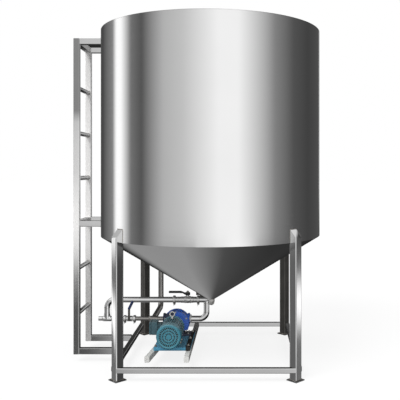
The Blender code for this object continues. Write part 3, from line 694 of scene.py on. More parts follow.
# %% Bolt and weld bead
def bolt(bm, centre, axis, across=0.017, height=0.008, washer=True, stud=0.0):
    """A hexagon head on a washer; stud is how far a thread stands out of it."""
    matrix = turned_to(axis, centre)
    local = bmesh.new()
    base = 0.0016 if washer else 0.0
    if washer:
        lathe(local, [(0, 0), (across * 0.68, 0), (across * 0.68, 0.0014), (0, 0.0016)], steps=20)
    head = bmesh.new()
    bmesh.ops.create_cone(head, cap_ends=True, segments=6, radius1=across / math.sqrt(3),
                          radius2=across / math.sqrt(3), depth=height)
    bmesh.ops.translate(head, vec=(0, 0, base + height / 2), verts=head.verts[:])
    rims = [e for e in head.edges if e.verts[0].co.z == e.verts[1].co.z]
    round_edges(head, rims, across * 0.05, 1)
    join(local, head)
    if stud:
        end = base + height + stud
        lathe(local, [(0, base), (across * 0.28, base), (across * 0.28, end),
                      (across * 0.22, end + 0.001), (0, end + 0.001)], steps=16)
    join(bm, local, matrix)


def weld_ring(bm, radius, centre, axis, width=0.007, proud=0.0012, steps=64):
    """A round bead laid about an axis."""
    lathe(bm, [(radius - 0.001, -width / 2), (radius + proud * 0.7, -width * 0.3),
               (radius + proud, 0), (radius + proud * 0.7, width * 0.3),
               (radius - 0.001, width / 2)], centre, axis, steps, closed=True)


trial = bmesh.new()
bolt(trial, (0, 0, 0), UP, stud=0.003)
print("a bolt with its washer and thread has", len(trial.faces), "faces")
trial.free()

# %% [markdown]
# ## The drum and its cone
#
# On the real tank the drum is rolled from sheet, and the cone is cut flat, rolled and welded
# to it. Both are figures of revolution, so both are turned here from their wall section. The
# section is drawn as a closed loop, inside and outside, so that the sheet has its real
# thickness. The steps are fine, because a mirror shows every flat.

# %% Drum
TANK_R, WALL = 0.950, 0.004
RIM_Z, TOP_Z = 1.063, 2.817                                # the drum's lower and upper edge
CONE_SLOPE, ROOF_SLOPE = math.radians(32.0), math.radians(5.0)
OUTLET_R = 0.0305
DRUM_STEPS = 256


def cone_z(r):
    """Height of the cone's outer face at a radius."""
    return RIM_Z - (TANK_R - r) * math.tan(CONE_SLOPE)


def roof_z(r):
    """Height of the roof's outer face at a radius."""
    return TOP_Z + (TANK_R - r) * math.tan(ROOF_SLOPE)


EDGE = 0.0008                                              # the crisp edge of cut sheet
bm = bmesh.new()
lathe(bm, [(TANK_R - WALL, RIM_Z), (TANK_R - EDGE, RIM_Z), (TANK_R, RIM_Z + EDGE),
           (TANK_R, TOP_Z - WALL - EDGE), (TANK_R - EDGE, TOP_Z - WALL),
           (TANK_R - WALL, TOP_Z - WALL)], steps=DRUM_STEPS, closed=True)
finish_piece("drum_wall", bm, brushed_sheet, [f"shell_plate_{i}" for i in (1, 2, 3, 4)])

# %% [markdown]
# The cone's wall is measured square to its slope, so upright and level it is a little more
# than the sheet: the lift and the inset. The roof is a shallow cone with its edge rounded.

# %% Cone and roof
lift = WALL / math.cos(CONE_SLOPE)
inset = WALL / math.sin(CONE_SLOPE)
throat = OUTLET_R - WALL
bm = bmesh.new()
lathe(bm, [(OUTLET_R, cone_z(OUTLET_R)), (TANK_R, RIM_Z), (TANK_R - inset, RIM_Z),
           (throat, cone_z(throat) + lift), (throat, cone_z(OUTLET_R))],
      steps=DRUM_STEPS, closed=True)
finish_piece("bottom_cone", bm, brushed_sheet, ["cone_half_1", "cone_half_2"])

bm = bmesh.new()
roof_lift = WALL / math.cos(ROOF_SLOPE)
lathe(bm, [(0, roof_z(0)), (TANK_R - EDGE, TOP_Z), (TANK_R, TOP_Z - EDGE),
           (TANK_R, TOP_Z - WALL), (0, roof_z(0) - roof_lift)], steps=DRUM_STEPS)
finish_piece("roof_sheet", bm, brushed_sheet, ["roof"])

# %% [markdown]
# The seams are beads on the sheet: one round the top, one round the bottom where the cone
# starts, one up the back of the drum and one down the back of the cone. They are only about
# a millimetre proud, because a tank like this is ground and polished after welding.

# %% Seams of the drum
SEAM_W = 0.006
DRUM_SEAM_AT = math.radians(104)                           # round from the right, at the back
CONE_SEAM_AT = math.radians(76)
bm = bmesh.new()
weld_ring(bm, TANK_R - 0.0016, (0, 0, TOP_Z - 0.004), UP, 0.004, 0.0014, DRUM_STEPS)
weld_ring(bm, TANK_R - 0.0016, (0, 0, RIM_Z + 0.002), UP, 0.005, 0.0016, DRUM_STEPS)
seam = bmesh.new()
bar(seam, (TANK_R - 0.002, -SEAM_W / 2, RIM_Z), (TANK_R + 0.0006, SEAM_W / 2, TOP_Z - WALL),
    0.0005)
join(bm, seam, Matrix.Rotation(DRUM_SEAM_AT, 4, "Z"))
slant = (TANK_R - OUTLET_R) / math.cos(CONE_SLOPE)
seam = bmesh.new()
bar(seam, (0, -SEAM_W / 2, -0.0006), (slant - 0.03, SEAM_W / 2, 0.002), 0.0005)
join(bm, seam, Matrix.Rotation(CONE_SEAM_AT, 4, "Z")
     @ Matrix.Translation((OUTLET_R, 0, cone_z(OUTLET_R)))
     @ Matrix.Rotation(-CONE_SLOPE, 4, "Y"))
finish_piece("drum_seams", bm, weld)

# %% [markdown]
# ## What stands on the roof
#
# The photograph doesn't show the roof, so what stands on it is a maker's usual choice and is
# kept low. First comes a round manway with a dished lid that six swing bolts hold down. Neck
# and lid are turned, and the handle is a bent rod. One swing bolt is made and then repeated.

# %% Manway
MANWAY = Vector((0.10, 0.40, 0))
NECK_R, FLANGE_R = 0.210, 0.235
NECK_TOP = 2.955
LID_Z = NECK_TOP + GAP
out_from_axis = MANWAY.normalized()
roof_normal = out_from_axis * math.sin(ROOF_SLOPE) + UP * math.cos(ROOF_SLOPE)
neck_foot = MANWAY + UP * roof_z(MANWAY.length)

bm = bmesh.new()
lathe(bm, [(NECK_R - WALL, NECK_TOP - 0.120), (NECK_R, NECK_TOP - 0.120),
           (NECK_R, NECK_TOP - 0.012), (FLANGE_R - 0.001, NECK_TOP - 0.010),
           (FLANGE_R, NECK_TOP - 0.009), (FLANGE_R, NECK_TOP - 0.001),
           (FLANGE_R - 0.001, NECK_TOP), (NECK_R - WALL, NECK_TOP)],
      MANWAY, steps=96, closed=True)
finish_piece("neck_of_manway", bm, brushed_sheet, ["manway_neck"])

bm = bmesh.new()
lathe(bm, [(0, LID_Z), (FLANGE_R - 0.002, LID_Z), (FLANGE_R, LID_Z + 0.003),
           (FLANGE_R - 0.001, LID_Z + 0.008), (0.205, LID_Z + 0.008), (0.196, LID_Z + 0.012),
           (0.150, LID_Z + 0.021), (0.100, LID_Z + 0.026), (0.050, LID_Z + 0.029),
           (0, LID_Z + 0.030)], MANWAY, steps=96)
finish_piece("lid_of_manway", bm, brushed_sheet, ["manway_cover"])

bm = bmesh.new()
weld_ring(bm, NECK_R + 0.001, neck_foot + roof_normal * 0.001, roof_normal, 0.008, 0.0025)
finish_piece("weld_of_manway", bm, weld)

# %% [markdown]
# A swing bolt is hinged between two lugs under the flange. It lies in a slot of the lid's rim,
# and a round nut with two wings presses the lid down.

# %% Handle and swing bolts
HANDLE_R = 0.006
BOLT_AT = FLANGE_R - 0.008
bm = bmesh.new()
pipe(bm, HANDLE_R, MANWAY + Vector((-0.055, 0, LID_Z + 0.024)), UP,
     [0.006, (ALONG_X, 0.016), 0.078, (-UP, 0.016), 0.006], 16)
SWING_BOLTS = 6
for i in range(SWING_BOLTS):
    turn = Matrix.Rotation(math.tau * (i + 0.5) / SWING_BOLTS, 4, "Z")
    one = bmesh.new()
    for side in (-1, 1):
        y0, y1 = sorted((side * 0.007, side * 0.011))
        bar(one, (FLANGE_R - 0.018, y0, NECK_TOP - 0.018),
            (FLANGE_R + 0.002, y1, NECK_TOP + 0.002), 0.001)
        bar(one, (FLANGE_R - 0.010, side * 0.004, NECK_TOP + 0.010),
            (FLANGE_R - 0.006, side * 0.018, NECK_TOP + 0.022), 0.0012)
    pipe(one, 0.004, (BOLT_AT, 0, NECK_TOP - 0.015), UP, [0.042], 14)
    lathe(one, [(0, 0), (0.010, 0), (0.0085, 0.0077), (0, 0.0077)],
          (BOLT_AT, 0, NECK_TOP + 0.0093), UP, 18)
    join(bm, one, Matrix.Translation(MANWAY) @ turn)
finish_piece("swing_bolts", bm, sanitary)

# %% [markdown]
# The vent lets air in when the tank is drained. It is a gooseneck, so that no dirt falls in:
# a tube that is bent right over, with a turned rim at its mouth.

# %% Vent
VENT = Vector((-0.35, 0.30, 0))
VENT_R = 0.021
vent_foot = VENT + UP * roof_z(VENT.length)
bm = bmesh.new()
mouth = pipe(bm, VENT_R, vent_foot - UP * 0.012, UP,
             [0.085, (ALONG_X, 0.05), 0.010, (-UP, 0.05), 0.006], 32)
lathe(bm, [(VENT_R - 0.003, -0.003), (VENT_R + 0.0015, -0.003), (VENT_R + 0.0015, 0.006),
           (VENT_R - 0.003, 0.006)], mouth, UP, 32, closed=True)
finish_piece("gooseneck_vent", bm, sanitary, ["vent_pipe"])
bm = bmesh.new()
weld_ring(bm, VENT_R + 0.001, vent_foot + UP * 0.001, UP, 0.006, 0.002, 32)
finish_piece("weld_of_vent", bm, weld)

# %% [markdown]
# ## The frame
#
# Legs, rails and ladder are satin stainless square tube. A tube like this is formed from
# strip, so its corners are round, with a radius of about twice the wall. The solids already
# have the right lengths, mitres and sloping tops, so each new bar starts as a merged copy of
# its solid, has its flat faces joined into whole faces again, and then gets round corners.

# %% Rounded copies of the solids
FLAT = math.radians(1.0)                                   # less of a bend is one flat face
CREASE = math.radians(25.0)                                # more of a bend is an edge
LONG = 0.20                                                # a longer edge runs along a tube


def rounded_copy(name, nodes, material, corner, segments=2, tube_corner=0.0):
    """A piece that copies solids, with every sharp outer edge rounded, the long ones more."""
    bm = bmesh.new()
    for node in nodes:
        bm.from_mesh(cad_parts[node].data)
    bmesh.ops.remove_doubles(bm, verts=bm.verts[:], dist=0.00002)
    bmesh.ops.dissolve_limit(bm, angle_limit=FLAT, verts=bm.verts[:], edges=bm.edges[:])
    for least, offset, steps in ((LONG, tube_corner, 5), (0, corner, segments)):
        sharp = [e for e in bm.edges if len(e.link_faces) == 2 and e.calc_face_angle(0) > CREASE
                 and e.is_convex and e.calc_length() > least]
        if offset:
            round_edges(bm, sharp, offset, steps, clamp_overlap=True)
    bmesh.ops.translate(bm, verts=bm.verts[:], vec=(-AXIS_X, 0, 0))
    finish_piece(name, bm, material, nodes)


CUT_END = 0.0012                                           # round of a sawn end
LEG_CORNER, TUBE_CORNER = 0.011, 0.005                     # round of a tube's long corners
for side in ("left", "right"):
    for name, node, material, corner in (
            (f"post_front_{side}", f"leg_front_{side}", tube_upright, LEG_CORNER),
            # The rear posts are darker tube: painted shade.
            (f"post_rear_{side}", f"leg_rear_{side}", mill_tube_and_painted_shade, LEG_CORNER),
            (f"bottom_bar_{side}", f"rail_{side}", tube_along_y, TUBE_CORNER),
            (f"skid_bar_{side}", f"skid_rail_{side}", skid_bar, TUBE_CORNER)):
        rounded_copy(name, [node], material, CUT_END, tube_corner=corner)
for side in ("front", "rear"):
    rounded_copy(f"bottom_bar_{side}", [f"rail_{side}"], tube_along_x, CUT_END,
                 tube_corner=TUBE_CORNER)
rounded_copy("ladder_frame", ["ladder"], ladder_tube, CUT_END, tube_corner=TUBE_CORNER)
for level in ("top", "middle", "bottom"):
    for side in ("front", "rear"):
        rounded_copy(f"stay_{level}_{side}", [f"arm_{level}_{side}"], tube_along_x, 0.003)
rounded_copy("ladder_plate", ["ladder_top_plate"], tube_along_x, 0.0008, 1)
# Painted shade: the hanger is dark plate where it lies in shade.
rounded_copy("header_hanger", ["pipe_hanger"], painted_shade_plate, 0.0006, 1)

# %% [markdown]
# Where two tubes meet there is a fillet weld. Each bead is a slim bar with round edges, laid
# along the joint: round each foot, up both sides of each leg where it touches the drum, and
# over its cap. The beads of one leg are made once, and then turned to all four.

# %% Welds of the legs
LEG = 0.070
LEG_AT = 0.975
FOOT_TOP = 0.008
CAP_TOUCHES = 1.168                                        # where a leg's cap meets the drum
BEAD = 0.0045
bm = bmesh.new()
for degrees in (45, 135, 225, 315):
    one = bmesh.new()
    reach = LEG / 2 + BEAD / 2
    for side in (-1, 1):
        bar(one, (LEG_AT - reach, side * reach - BEAD / 2, FOOT_TOP - 0.001),
            (LEG_AT + reach, side * reach + BEAD / 2, FOOT_TOP + BEAD), 0.0018)
        bar(one, (LEG_AT + side * reach - BEAD / 2, -reach, FOOT_TOP - 0.001),
            (LEG_AT + side * reach + BEAD / 2, reach, FOOT_TOP + BEAD), 0.0018)
        bar(one, (TANK_R - 0.0025, side * (LEG / 2 - 0.0005) - BEAD / 2, RIM_Z + 0.004),
            (TANK_R + 0.0035, side * (LEG / 2 + 0.0015) + BEAD / 2, CAP_TOUCHES), 0.0018)
    bar(one, (TANK_R - 0.001, -LEG / 2, CAP_TOUCHES - 0.002),
        (TANK_R + 0.006, LEG / 2, CAP_TOUCHES + 0.004), 0.002)
    join(bm, one, Matrix.Rotation(math.radians(degrees), 4, "Z"))
finish_piece("welds_of_legs", bm, weld)

# %% [markdown]
# The rungs are round tubes, so each end has a round bead. The level stays have a bead along
# their top and bottom edges, against the drum or against the left bottom rail.

# %% Welds of the ladder
RAIL_EDGES = (0.067, 0.107)
LADDER_X = -1.130
LADDER_HALF = 0.205
STILE = 0.050
RUNG = 0.038
RUNG_HEIGHTS = (0.400, 0.785, 1.555, 1.940, 2.325)
STAY_TOPS = (2.742, 1.195, 0.115)
bm = bmesh.new()
inner = LADDER_HALF - STILE / 2
for z in RUNG_HEIGHTS:
    for side in (-1, 1):
        weld_ring(bm, RUNG / 2, (LADDER_X, side * inner, z), ALONG_Y, BEAD, 0.0018, 32)
rail_face = -(LEG_AT + LEG) / math.sqrt(2)
for top in STAY_TOPS:
    on_rail = top == STAY_TOPS[-1]
    for side in (-1, 1):
        ys = (side * LADDER_HALF - STILE / 2, side * LADDER_HALF + STILE / 2)
        near = rail_face if on_rail else -math.sqrt(TANK_R ** 2 - ys[0] * ys[1])
        for z in RAIL_EDGES if on_rail else (top - STILE, top):
            bar(bm, (near - 0.003, ys[0], z - BEAD / 2), (near + 0.002, ys[1], z + BEAD / 2),
                0.0015)
finish_piece("welds_of_ladder", bm, weld)

# %% [markdown]
# ## Pipework
#
# The pipes are sanitary tube: thin stainless tube with a bright polish, joined by elbows that
# are butt-welded and by clamped ferrules where the line has to come apart. The upper line
# runs from the cone's outlet to the left, drops, and meets the lower line, which comes from
# the pump. All of it lies in one upright plane, so a point is given by its X and Z alone.

# %% Where the pipes run
PIPE_Y = 0.142                                             # the plane of the pipes
MAIN_R, SMALL_R = 0.0255, 0.019                            # 51 mm and 38 mm tube
MAIN_FLARE, SMALL_FLARE = 0.032, 0.0253                    # their ferrules
MAIN_Z, LOW_Z = 0.4513, 0.280                              # upper and lower line
SUCTION_X = -0.049                                         # the drop to the pump
RISER_X, RISER_Y = -0.528, 0.650                           # the return to the cone
DROP_X, OPEN_END_X = -0.948, -1.024                        # the drop at the far left
VALVE_1_X, VALVE_1_ENDS = -0.2193, (-0.3400, -0.1243)
VALVE_2_X, VALVE_2_ENDS = -0.743, (-0.7860, -0.7000)
PUMP_PORTS = (-0.4380, -0.1860)
PIPE_STEPS = 40


def at(x, z, y=PIPE_Y):
    """A point in the plane of the pipes."""
    return Vector((x, y, z))


def ferrule(bm, x, z, radius, outward):
    """The flared collar on a pipe's end; outward is the side of the joint, +1 or -1."""
    neck = radius * 0.82
    lathe(bm, [(neck - 0.004, -0.012), (neck, -0.010), (neck + 0.001, -0.0065),
               (radius, -0.0030), (radius, 0), (neck - 0.004, 0)],
          at(x, z), ALONG_X * outward, PIPE_STEPS, closed=True)


def tube_welds(bm, radius, spots):
    """Small polished beads round a tube, each given as a centre and a direction."""
    for centre, axis in spots:
        weld_ring(bm, radius + 0.0004, centre, axis, 0.0032, 0.0006, PIPE_STEPS)


outlet_z = cone_z(OUTLET_R) - GAP
print("outlet", round(outlet_z, 3), "m high, upper line", MAIN_Z, "m, lower line", LOW_Z, "m")

# %% [markdown]
# The header starts behind the outlet elbow, turns to the left, and ends at the first valve. A
# tube of the same size branches off it and drops to the pump's inlet. Elbows are tight under
# the cone and wider in the line.

# %% Header and drop to the pump
elbow = 0.033
wide = 0.045
drop_bend = 0.060
elbow_end = elbow + 0.004
suction_end = VALVE_1_ENDS[1] + GAP
bm = bmesh.new()
pipe(bm, MAIN_R, (0, elbow_end, MAIN_Z), ALONG_Y,
     [PIPE_Y - elbow_end - wide, (-ALONG_X, wide), -suction_end - wide], PIPE_STEPS)
pipe(bm, MAIN_R, at(SUCTION_X, MAIN_Z - 0.010), -UP,
     [MAIN_Z - 0.010 - LOW_Z - drop_bend, (-ALONG_X, drop_bend),
      SUCTION_X - drop_bend - PUMP_PORTS[1] - GAP], PIPE_STEPS)
ferrule(bm, suction_end, MAIN_Z, MAIN_FLARE, -1)
finish_piece("header_and_drop", bm, sanitary, ["suction_pipe"])

# %% [markdown]
# The elbow right under the cone is a cast fitting with a flared collar, so it is whiter and
# duller than the polished tube, and is a piece of its own.

# %% Outlet elbow
bm = bmesh.new()
pipe(bm, MAIN_R, (0, 0, outlet_z), -UP,
     [outlet_z - MAIN_Z - elbow, (ALONG_Y, elbow), 0.004 - GAP], PIPE_STEPS)
lathe(bm, [(MAIN_R - 0.003, 0), (0.030, 0), (0.032, -0.002), (0.032, -0.005),
           (MAIN_R, -0.007), (MAIN_R - 0.003, -0.007)], (0, 0, outlet_z), UP, PIPE_STEPS,
      closed=True)
finish_piece("outlet_elbow", bm, cast_elbow)

# %% [markdown]
# Past the first valve the upper line runs far to the left and drops on the lower line, which
# ends there in an open outlet. The drop widens into the smaller line through a shaped saddle:
# a turned flare that is pressed thinner across the pipe's plane towards its foot.

# %% Upper line and open outlet
BORE_R = 0.0165
upper_end = VALVE_1_ENDS[0] - GAP
lower_end = VALVE_2_ENDS[0] - GAP
run = lower_end - OPEN_END_X
drop_elbow = 0.073
bm = bmesh.new()
pipe(bm, MAIN_R, at(upper_end, MAIN_Z), -ALONG_X,
     [upper_end - DROP_X - drop_elbow, (-UP, drop_elbow), MAIN_Z - drop_elbow - LOW_Z],
     PIPE_STEPS)
ferrule(bm, upper_end, MAIN_Z, MAIN_FLARE, 1)
flare = bmesh.new()
lathe(flare, [(0, 0.006), (0.044, 0.006), (0.036, 0.014), (0.030, 0.025), (0.0268, 0.040),
              (MAIN_R + 0.0003, 0.058), (MAIN_R - 0.001, 0.058), (0, 0.058)], steps=PIPE_STEPS)
for vert in flare.verts:
    vert.co.y *= 0.45 + 0.55 * min(1, vert.co.z / 0.045)
join(bm, flare, Matrix.Translation(at(DROP_X, LOW_Z)))
lathe(bm, [(0, 0), (SMALL_R, 0), (SMALL_R, run - 0.003), (SMALL_R + 0.0012, run - 0.0025),
           (SMALL_R + 0.0012, run - 0.0005), (SMALL_R, run), (BORE_R, run),
           (BORE_R, run - 0.035), (0, run - 0.035)], at(lower_end, LOW_Z), -ALONG_X, PIPE_STEPS)
lathe(bm, [(SMALL_R - 0.002, -0.042), (SMALL_R + 0.002, -0.038), (0.024, -0.030),
           (0.024, 0.030), (SMALL_R + 0.002, 0.038), (SMALL_R - 0.002, 0.042)],
      at(DROP_X, LOW_Z), ALONG_X, PIPE_STEPS, closed=True)
ferrule(bm, lower_end, LOW_Z, SMALL_FLARE, 1)
finish_piece("upper_line_and_outlet", bm, sanitary, ["discharge_pipe"])

# %% [markdown]
# The return branch leaves the lower line at a tee, runs back under the tank, turns up, and
# enters the cone. Its top ends inside the cone, so that the two meet all the way round. It is
# left as drawn, and looks duller than the polished lines.

# %% Return branch
RISER_TOP = 1.010
branch_bend = 0.065
return_start = VALVE_2_ENDS[1] + GAP
bm = bmesh.new()
pipe(bm, SMALL_R, at(return_start, LOW_Z), ALONG_X, [PUMP_PORTS[0] - GAP - return_start],
     PIPE_STEPS)
pipe(bm, MAIN_R, at(RISER_X, LOW_Z), ALONG_Y,
     [RISER_Y - PIPE_Y - branch_bend, (UP, branch_bend), RISER_TOP - LOW_Z - branch_bend],
     PIPE_STEPS)
lathe(bm, [(SMALL_R - 0.002, -0.040), (SMALL_R + 0.001, -0.040), (MAIN_R, -0.031),
           (MAIN_R, 0.031), (SMALL_R + 0.001, 0.040), (SMALL_R - 0.002, 0.040)],
      at(RISER_X, LOW_Z), ALONG_X, PIPE_STEPS, closed=True)
ferrule(bm, return_start, LOW_Z, SMALL_FLARE, -1)
finish_piece("return_branch", bm, drawn_tube, ["return_pipe"])

# %% [markdown]
# Each butt weld between a tube and an elbow is a bead only half a millimetre proud. All of
# them are one piece.

# %% Tube welds
bm = bmesh.new()
tube_welds(bm, MAIN_R, [
    (at(0, MAIN_Z, elbow), ALONG_Y), (at(0, MAIN_Z, PIPE_Y - wide), ALONG_Y),
    (at(-wide, MAIN_Z), ALONG_X), (at(SUCTION_X, MAIN_Z - 0.032), UP),
    (at(SUCTION_X, LOW_Z + drop_bend), UP), (at(SUCTION_X - drop_bend, LOW_Z), ALONG_X),
    (at(DROP_X + drop_elbow, MAIN_Z), ALONG_X), (at(DROP_X, MAIN_Z - drop_elbow), UP),
    (at(RISER_X, LOW_Z, PIPE_Y + 0.034), ALONG_Y),
    (at(RISER_X, LOW_Z, RISER_Y - branch_bend), ALONG_Y),
    (at(RISER_X, LOW_Z + branch_bend, RISER_Y), UP)])
tube_welds(bm, SMALL_R, [(at(x, LOW_Z), ALONG_X) for x in (
    DROP_X + 0.044, DROP_X - 0.044, RISER_X + 0.043, RISER_X - 0.043)])
finish_piece("tube_weld_beads", bm, weld)

# %% [markdown]
# ## Clamps
#
# A sanitary clamp is two cast half rings, hinged at the back, that squeeze two ferrules
# together with a wedge-shaped groove. One swing bolt with a wing nut pulls them shut. The
# ring, the split, the ears and the wing nut all show, so each is a shape of its own. The wing
# nut hangs below the pipe.

# %% Clamps and wing nuts
def wing_nut(bm, matrix, reach):
    """A wing nut about local Z: a boss with two swept wings."""
    local = bmesh.new()
    lathe(local, [(0, 0), (0.0070, 0), (0.0055, 0.009), (0, 0.009)], steps=18)
    for side in (-1, 1):
        wing = bmesh.new()
        bmesh.ops.create_cube(wing, size=1.0)
        bmesh.ops.scale(wing, vec=(reach, 0.003, 0.010), verts=wing.verts[:])
        bmesh.ops.translate(wing, vec=(side * reach * 0.75, 0, 0.008), verts=wing.verts[:])
        for vert in wing.verts:
            vert.co.z += abs(vert.co.x) * 0.35
        round_edges(wing, wing.edges[:], 0.0012, 2)
        join(local, wing)
    join(bm, local, matrix)


def clamp(name, node, x, z, inner):
    """Two half rings about a joint, with ears, a swing bolt and a hinge at the back."""
    outer = inner + 0.005
    centre = at(x, z)
    bm = bmesh.new()
    lathe(bm, [(inner, -0.0105), (outer - 0.002, -0.0105), (outer, -0.008), (outer, 0.008),
               (outer - 0.002, 0.0105), (inner, 0.0105)], centre, ALONG_X, 56, closed=True)
    low = z - outer + (0.002 if inner < 0.03 else 0)
    for side in (-1, 1):
        y0, y1 = sorted((PIPE_Y + side * 0.0020, PIPE_Y + side * 0.0115))
        bar(bm, (x - 0.0090, y0, low - 0.008), (x + 0.0090, y1, low + 0.004), 0.0022, 3)
    pipe(bm, 0.0034, (x, PIPE_Y + 0.014, low - 0.004), -ALONG_Y, [0.042], 16)
    wing_nut(bm, turned_to(-ALONG_Y, (x, PIPE_Y - 0.0125, low - 0.004))
             @ Matrix.Rotation(math.radians(62), 4, "Z"), 0.011)
    bar(bm, (x - 0.0055, PIPE_Y + outer - 0.003, z - 0.008),
        (x + 0.0055, PIPE_Y + outer + 0.004, z + 0.008), 0.0025, 3)
    finish_piece(name, bm, cast_steel, [node])


for name, node, x, z, flare in (
        ("clamp_by_header", "clamp_1", VALVE_1_ENDS[1] + GAP / 2, MAIN_Z, MAIN_FLARE),
        ("clamp_by_upper_line", "clamp_2", VALVE_1_ENDS[0] - GAP / 2, MAIN_Z, MAIN_FLARE),
        ("clamp_by_return", "clamp_3", VALVE_2_ENDS[1] + GAP / 2, LOW_Z, SMALL_FLARE),
        ("clamp_by_outlet", "clamp_4", VALVE_2_ENDS[0] - GAP / 2, LOW_Z, SMALL_FLARE)):
    clamp(name, node, x, z, flare + GAP)

# %% [markdown]
# ## Ball valves
#
# Each valve is a ball in a short body between two end pieces, held together by bolts that run
# along the pipe. A stem stands out of the middle, with a packing nut round it, and the lever
# sits on the stem. The first valve's stem points up and its lever lies along the pipe, which
# is open. The second valve's stem points forwards and its lever stands up, which is shut.

# %% Valve bodies
def valve_body(bm, x, z, ends, half, block_r, end_r, stem_axis, stem, stem_r):
    """A valve's block and square end plates, its tie bolts and its stem."""
    centre = at(x, z)
    left, right = ends
    lathe(bm, [(0, left - x), (end_r, left - x), (end_r, right - x), (0, right - x)],
          centre, ALONG_X, PIPE_STEPS)
    for side in (-1, 1):
        edge = side * half
        lathe(bm, [(end_r - 0.002, edge), (block_r * 0.86, edge), (block_r, edge - side * 0.003),
                   (block_r, edge - side * 0.009), (end_r - 0.002, edge - side * 0.009)],
              centre, ALONG_X, 8, closed=True)
    lathe(bm, [(0, -half + 0.010), (block_r * 0.90, -half + 0.010), (block_r * 0.97, 0),
               (block_r * 0.90, half - 0.010), (0, half - 0.010)], centre, ALONG_X, PIPE_STEPS)
    for way in spokes(ALONG_X, 4):
        spot = centre + way * block_r * 0.82
        pipe(bm, 0.0028, spot - ALONG_X * (half + 0.003), ALONG_X, [2 * half + 0.006], 12)
        for side in (ALONG_X, -ALONG_X):
            bolt(bm, spot + side * half, side, 0.008, 0.004, washer=False)
    lathe(bm, [(0, 0), (stem_r + 0.004, 0), (stem_r + 0.004, block_r + 0.002),
               (stem_r, block_r + 0.004), (stem_r, stem), (0, stem)], centre, stem_axis, 6)


VALVE_1_STEM, VALVE_2_STEM = 0.042, 0.036                  # stem tops, from the pipe's middle
bm = bmesh.new()
valve_body(bm, VALVE_1_X, MAIN_Z, VALVE_1_ENDS, 0.030, 0.0320, 0.0262, UP,
           VALVE_1_STEM - 0.0002, 0.013)
lathe(bm, [(MAIN_R - 0.002, -0.064), (0.028, -0.060), (0.028, 0.050), (MAIN_R - 0.002, 0.054)],
      at(VALVE_1_X, MAIN_Z), ALONG_X, PIPE_STEPS, closed=True)
for end, outward in zip(VALVE_1_ENDS, (-1, 1)):
    ferrule(bm, end, MAIN_Z, MAIN_FLARE, outward)
finish_piece("upper_valve", bm, cast_steel, ["valve_1_body"])

bm = bmesh.new()
valve_body(bm, VALVE_2_X, LOW_Z, VALVE_2_ENDS, 0.024, 0.0262, 0.0200, -ALONG_Y,
           VALVE_2_STEM - 0.0002, 0.008)
for end, outward in zip(VALVE_2_ENDS, (-1, 1)):
    ferrule(bm, end, LOW_Z, SMALL_FLARE, outward)
finish_piece("lower_valve", bm, cast_steel, ["valve_2_body"])

# %% [markdown]
# A lever is a strap that is bent so that the hand clears the pipe, with a dipped grip on its
# free end. The strap is drawn as its side view, one flat face, and pushed to its width. The
# grip is the same shape, a little fatter and with rounder edges.

# %% The upper valve's lever
def side_cut(bm, origin, outline, half_width, round_edge, segments):
    """A flat (x, z) outline from an origin, pushed to both sides and given round edges."""
    local = bmesh.new()
    face = local.faces.new([local.verts.new((x, -half_width, z)) for x, z in outline])
    grown = bmesh.ops.extrude_face_region(local, geom=[face])["geom"]
    bmesh.ops.translate(local, vec=(0, 2 * half_width, 0),
                        verts=[g for g in grown if isinstance(g, bmesh.types.BMVert)])
    bmesh.ops.recalc_face_normals(local, faces=local.faces[:])
    round_edges(local, local.edges[:], round_edge, segments)
    join(bm, local, Matrix.Translation(origin))


UPPER_LEVER = "upper_lever"
x, seat = VALVE_1_X, MAIN_Z + VALVE_1_STEM + GAP
bm = bmesh.new()
side_cut(bm, at(x, seat), [(0.016, 0.0), (-0.018, 0.0), (-0.046, 0.016), (-0.075, 0.018),
                           (-0.075, 0.036), (-0.060, 0.036), (-0.028, 0.022), (0.016, 0.022)],
         0.0098, 0.002, 3)
side_cut(bm, at(x, seat), [(-0.060, 0.0175), (-0.168, 0.0175), (-0.171, 0.0205),
                           (-0.171, 0.0335), (-0.168, 0.0365), (-0.060, 0.0365)],
         0.0115, 0.0050, 4)
lathe(bm, [(0, 0), (0.0215, 0), (0.0230, 0.002), (0.0220, 0.021), (0.0195, 0.024), (0, 0.024)],
      at(x, seat), UP, 32)
finish_piece("upper_grip", bm, black_grip, ["valve_1_lever"], UPPER_LEVER)
bm = bmesh.new()
bolt(bm, at(x, seat + 0.0235), UP, 0.022, 0.010, stud=0.003)
finish_piece("upper_lever_nut", bm, zinc, body=UPPER_LEVER)

# %% [markdown]
# The lower lever is a plain flat strap that stands up from the stem. Its dipped sleeve leans
# to the right, because the strap's top is bent, and it hides that bend.

# %% The lower valve's lever
LOWER_LEVER = "lower_lever"
GRIP_LONG, GRIP_R = 0.081, 0.0122
x, seat_y = VALVE_2_X, PIPE_Y - VALVE_2_STEM - GAP
bm = bmesh.new()
lathe(bm, [(0, 0), (0.013, 0), (0.013, 0.003), (0, 0.003)], (x, seat_y, LOW_Z), -ALONG_Y, 32)
bar(bm, (x - 0.0100, seat_y - 0.0085, LOW_Z - 0.011),
    (x + 0.0100, seat_y - 0.0030, LOW_Z + 0.106), 0.0012)
bolt(bm, (x, seat_y - 0.0085, LOW_Z), -ALONG_Y, 0.016, 0.007, stud=0.004)
finish_piece("lower_lever_strap", bm, mill_tube_and_painted_shade, ["valve_2_lever"], LOWER_LEVER)
bm = bmesh.new()
grip_start = Vector((x - 0.002, seat_y - 0.0060, LOW_Z + 0.094))
grip_way = Vector((0.033, 0, 0.066)).normalized()
lathe(bm, [(0, 0), (GRIP_R - 0.002, 0), (GRIP_R, 0.003), (GRIP_R, GRIP_LONG - 0.006),
           (GRIP_R - 0.002, GRIP_LONG - 0.002), (GRIP_R - 0.006, GRIP_LONG), (0, GRIP_LONG)],
      grip_start, grip_way, 28)
finish_piece("lower_grip", bm, navy_grip, body=LOWER_LEVER)
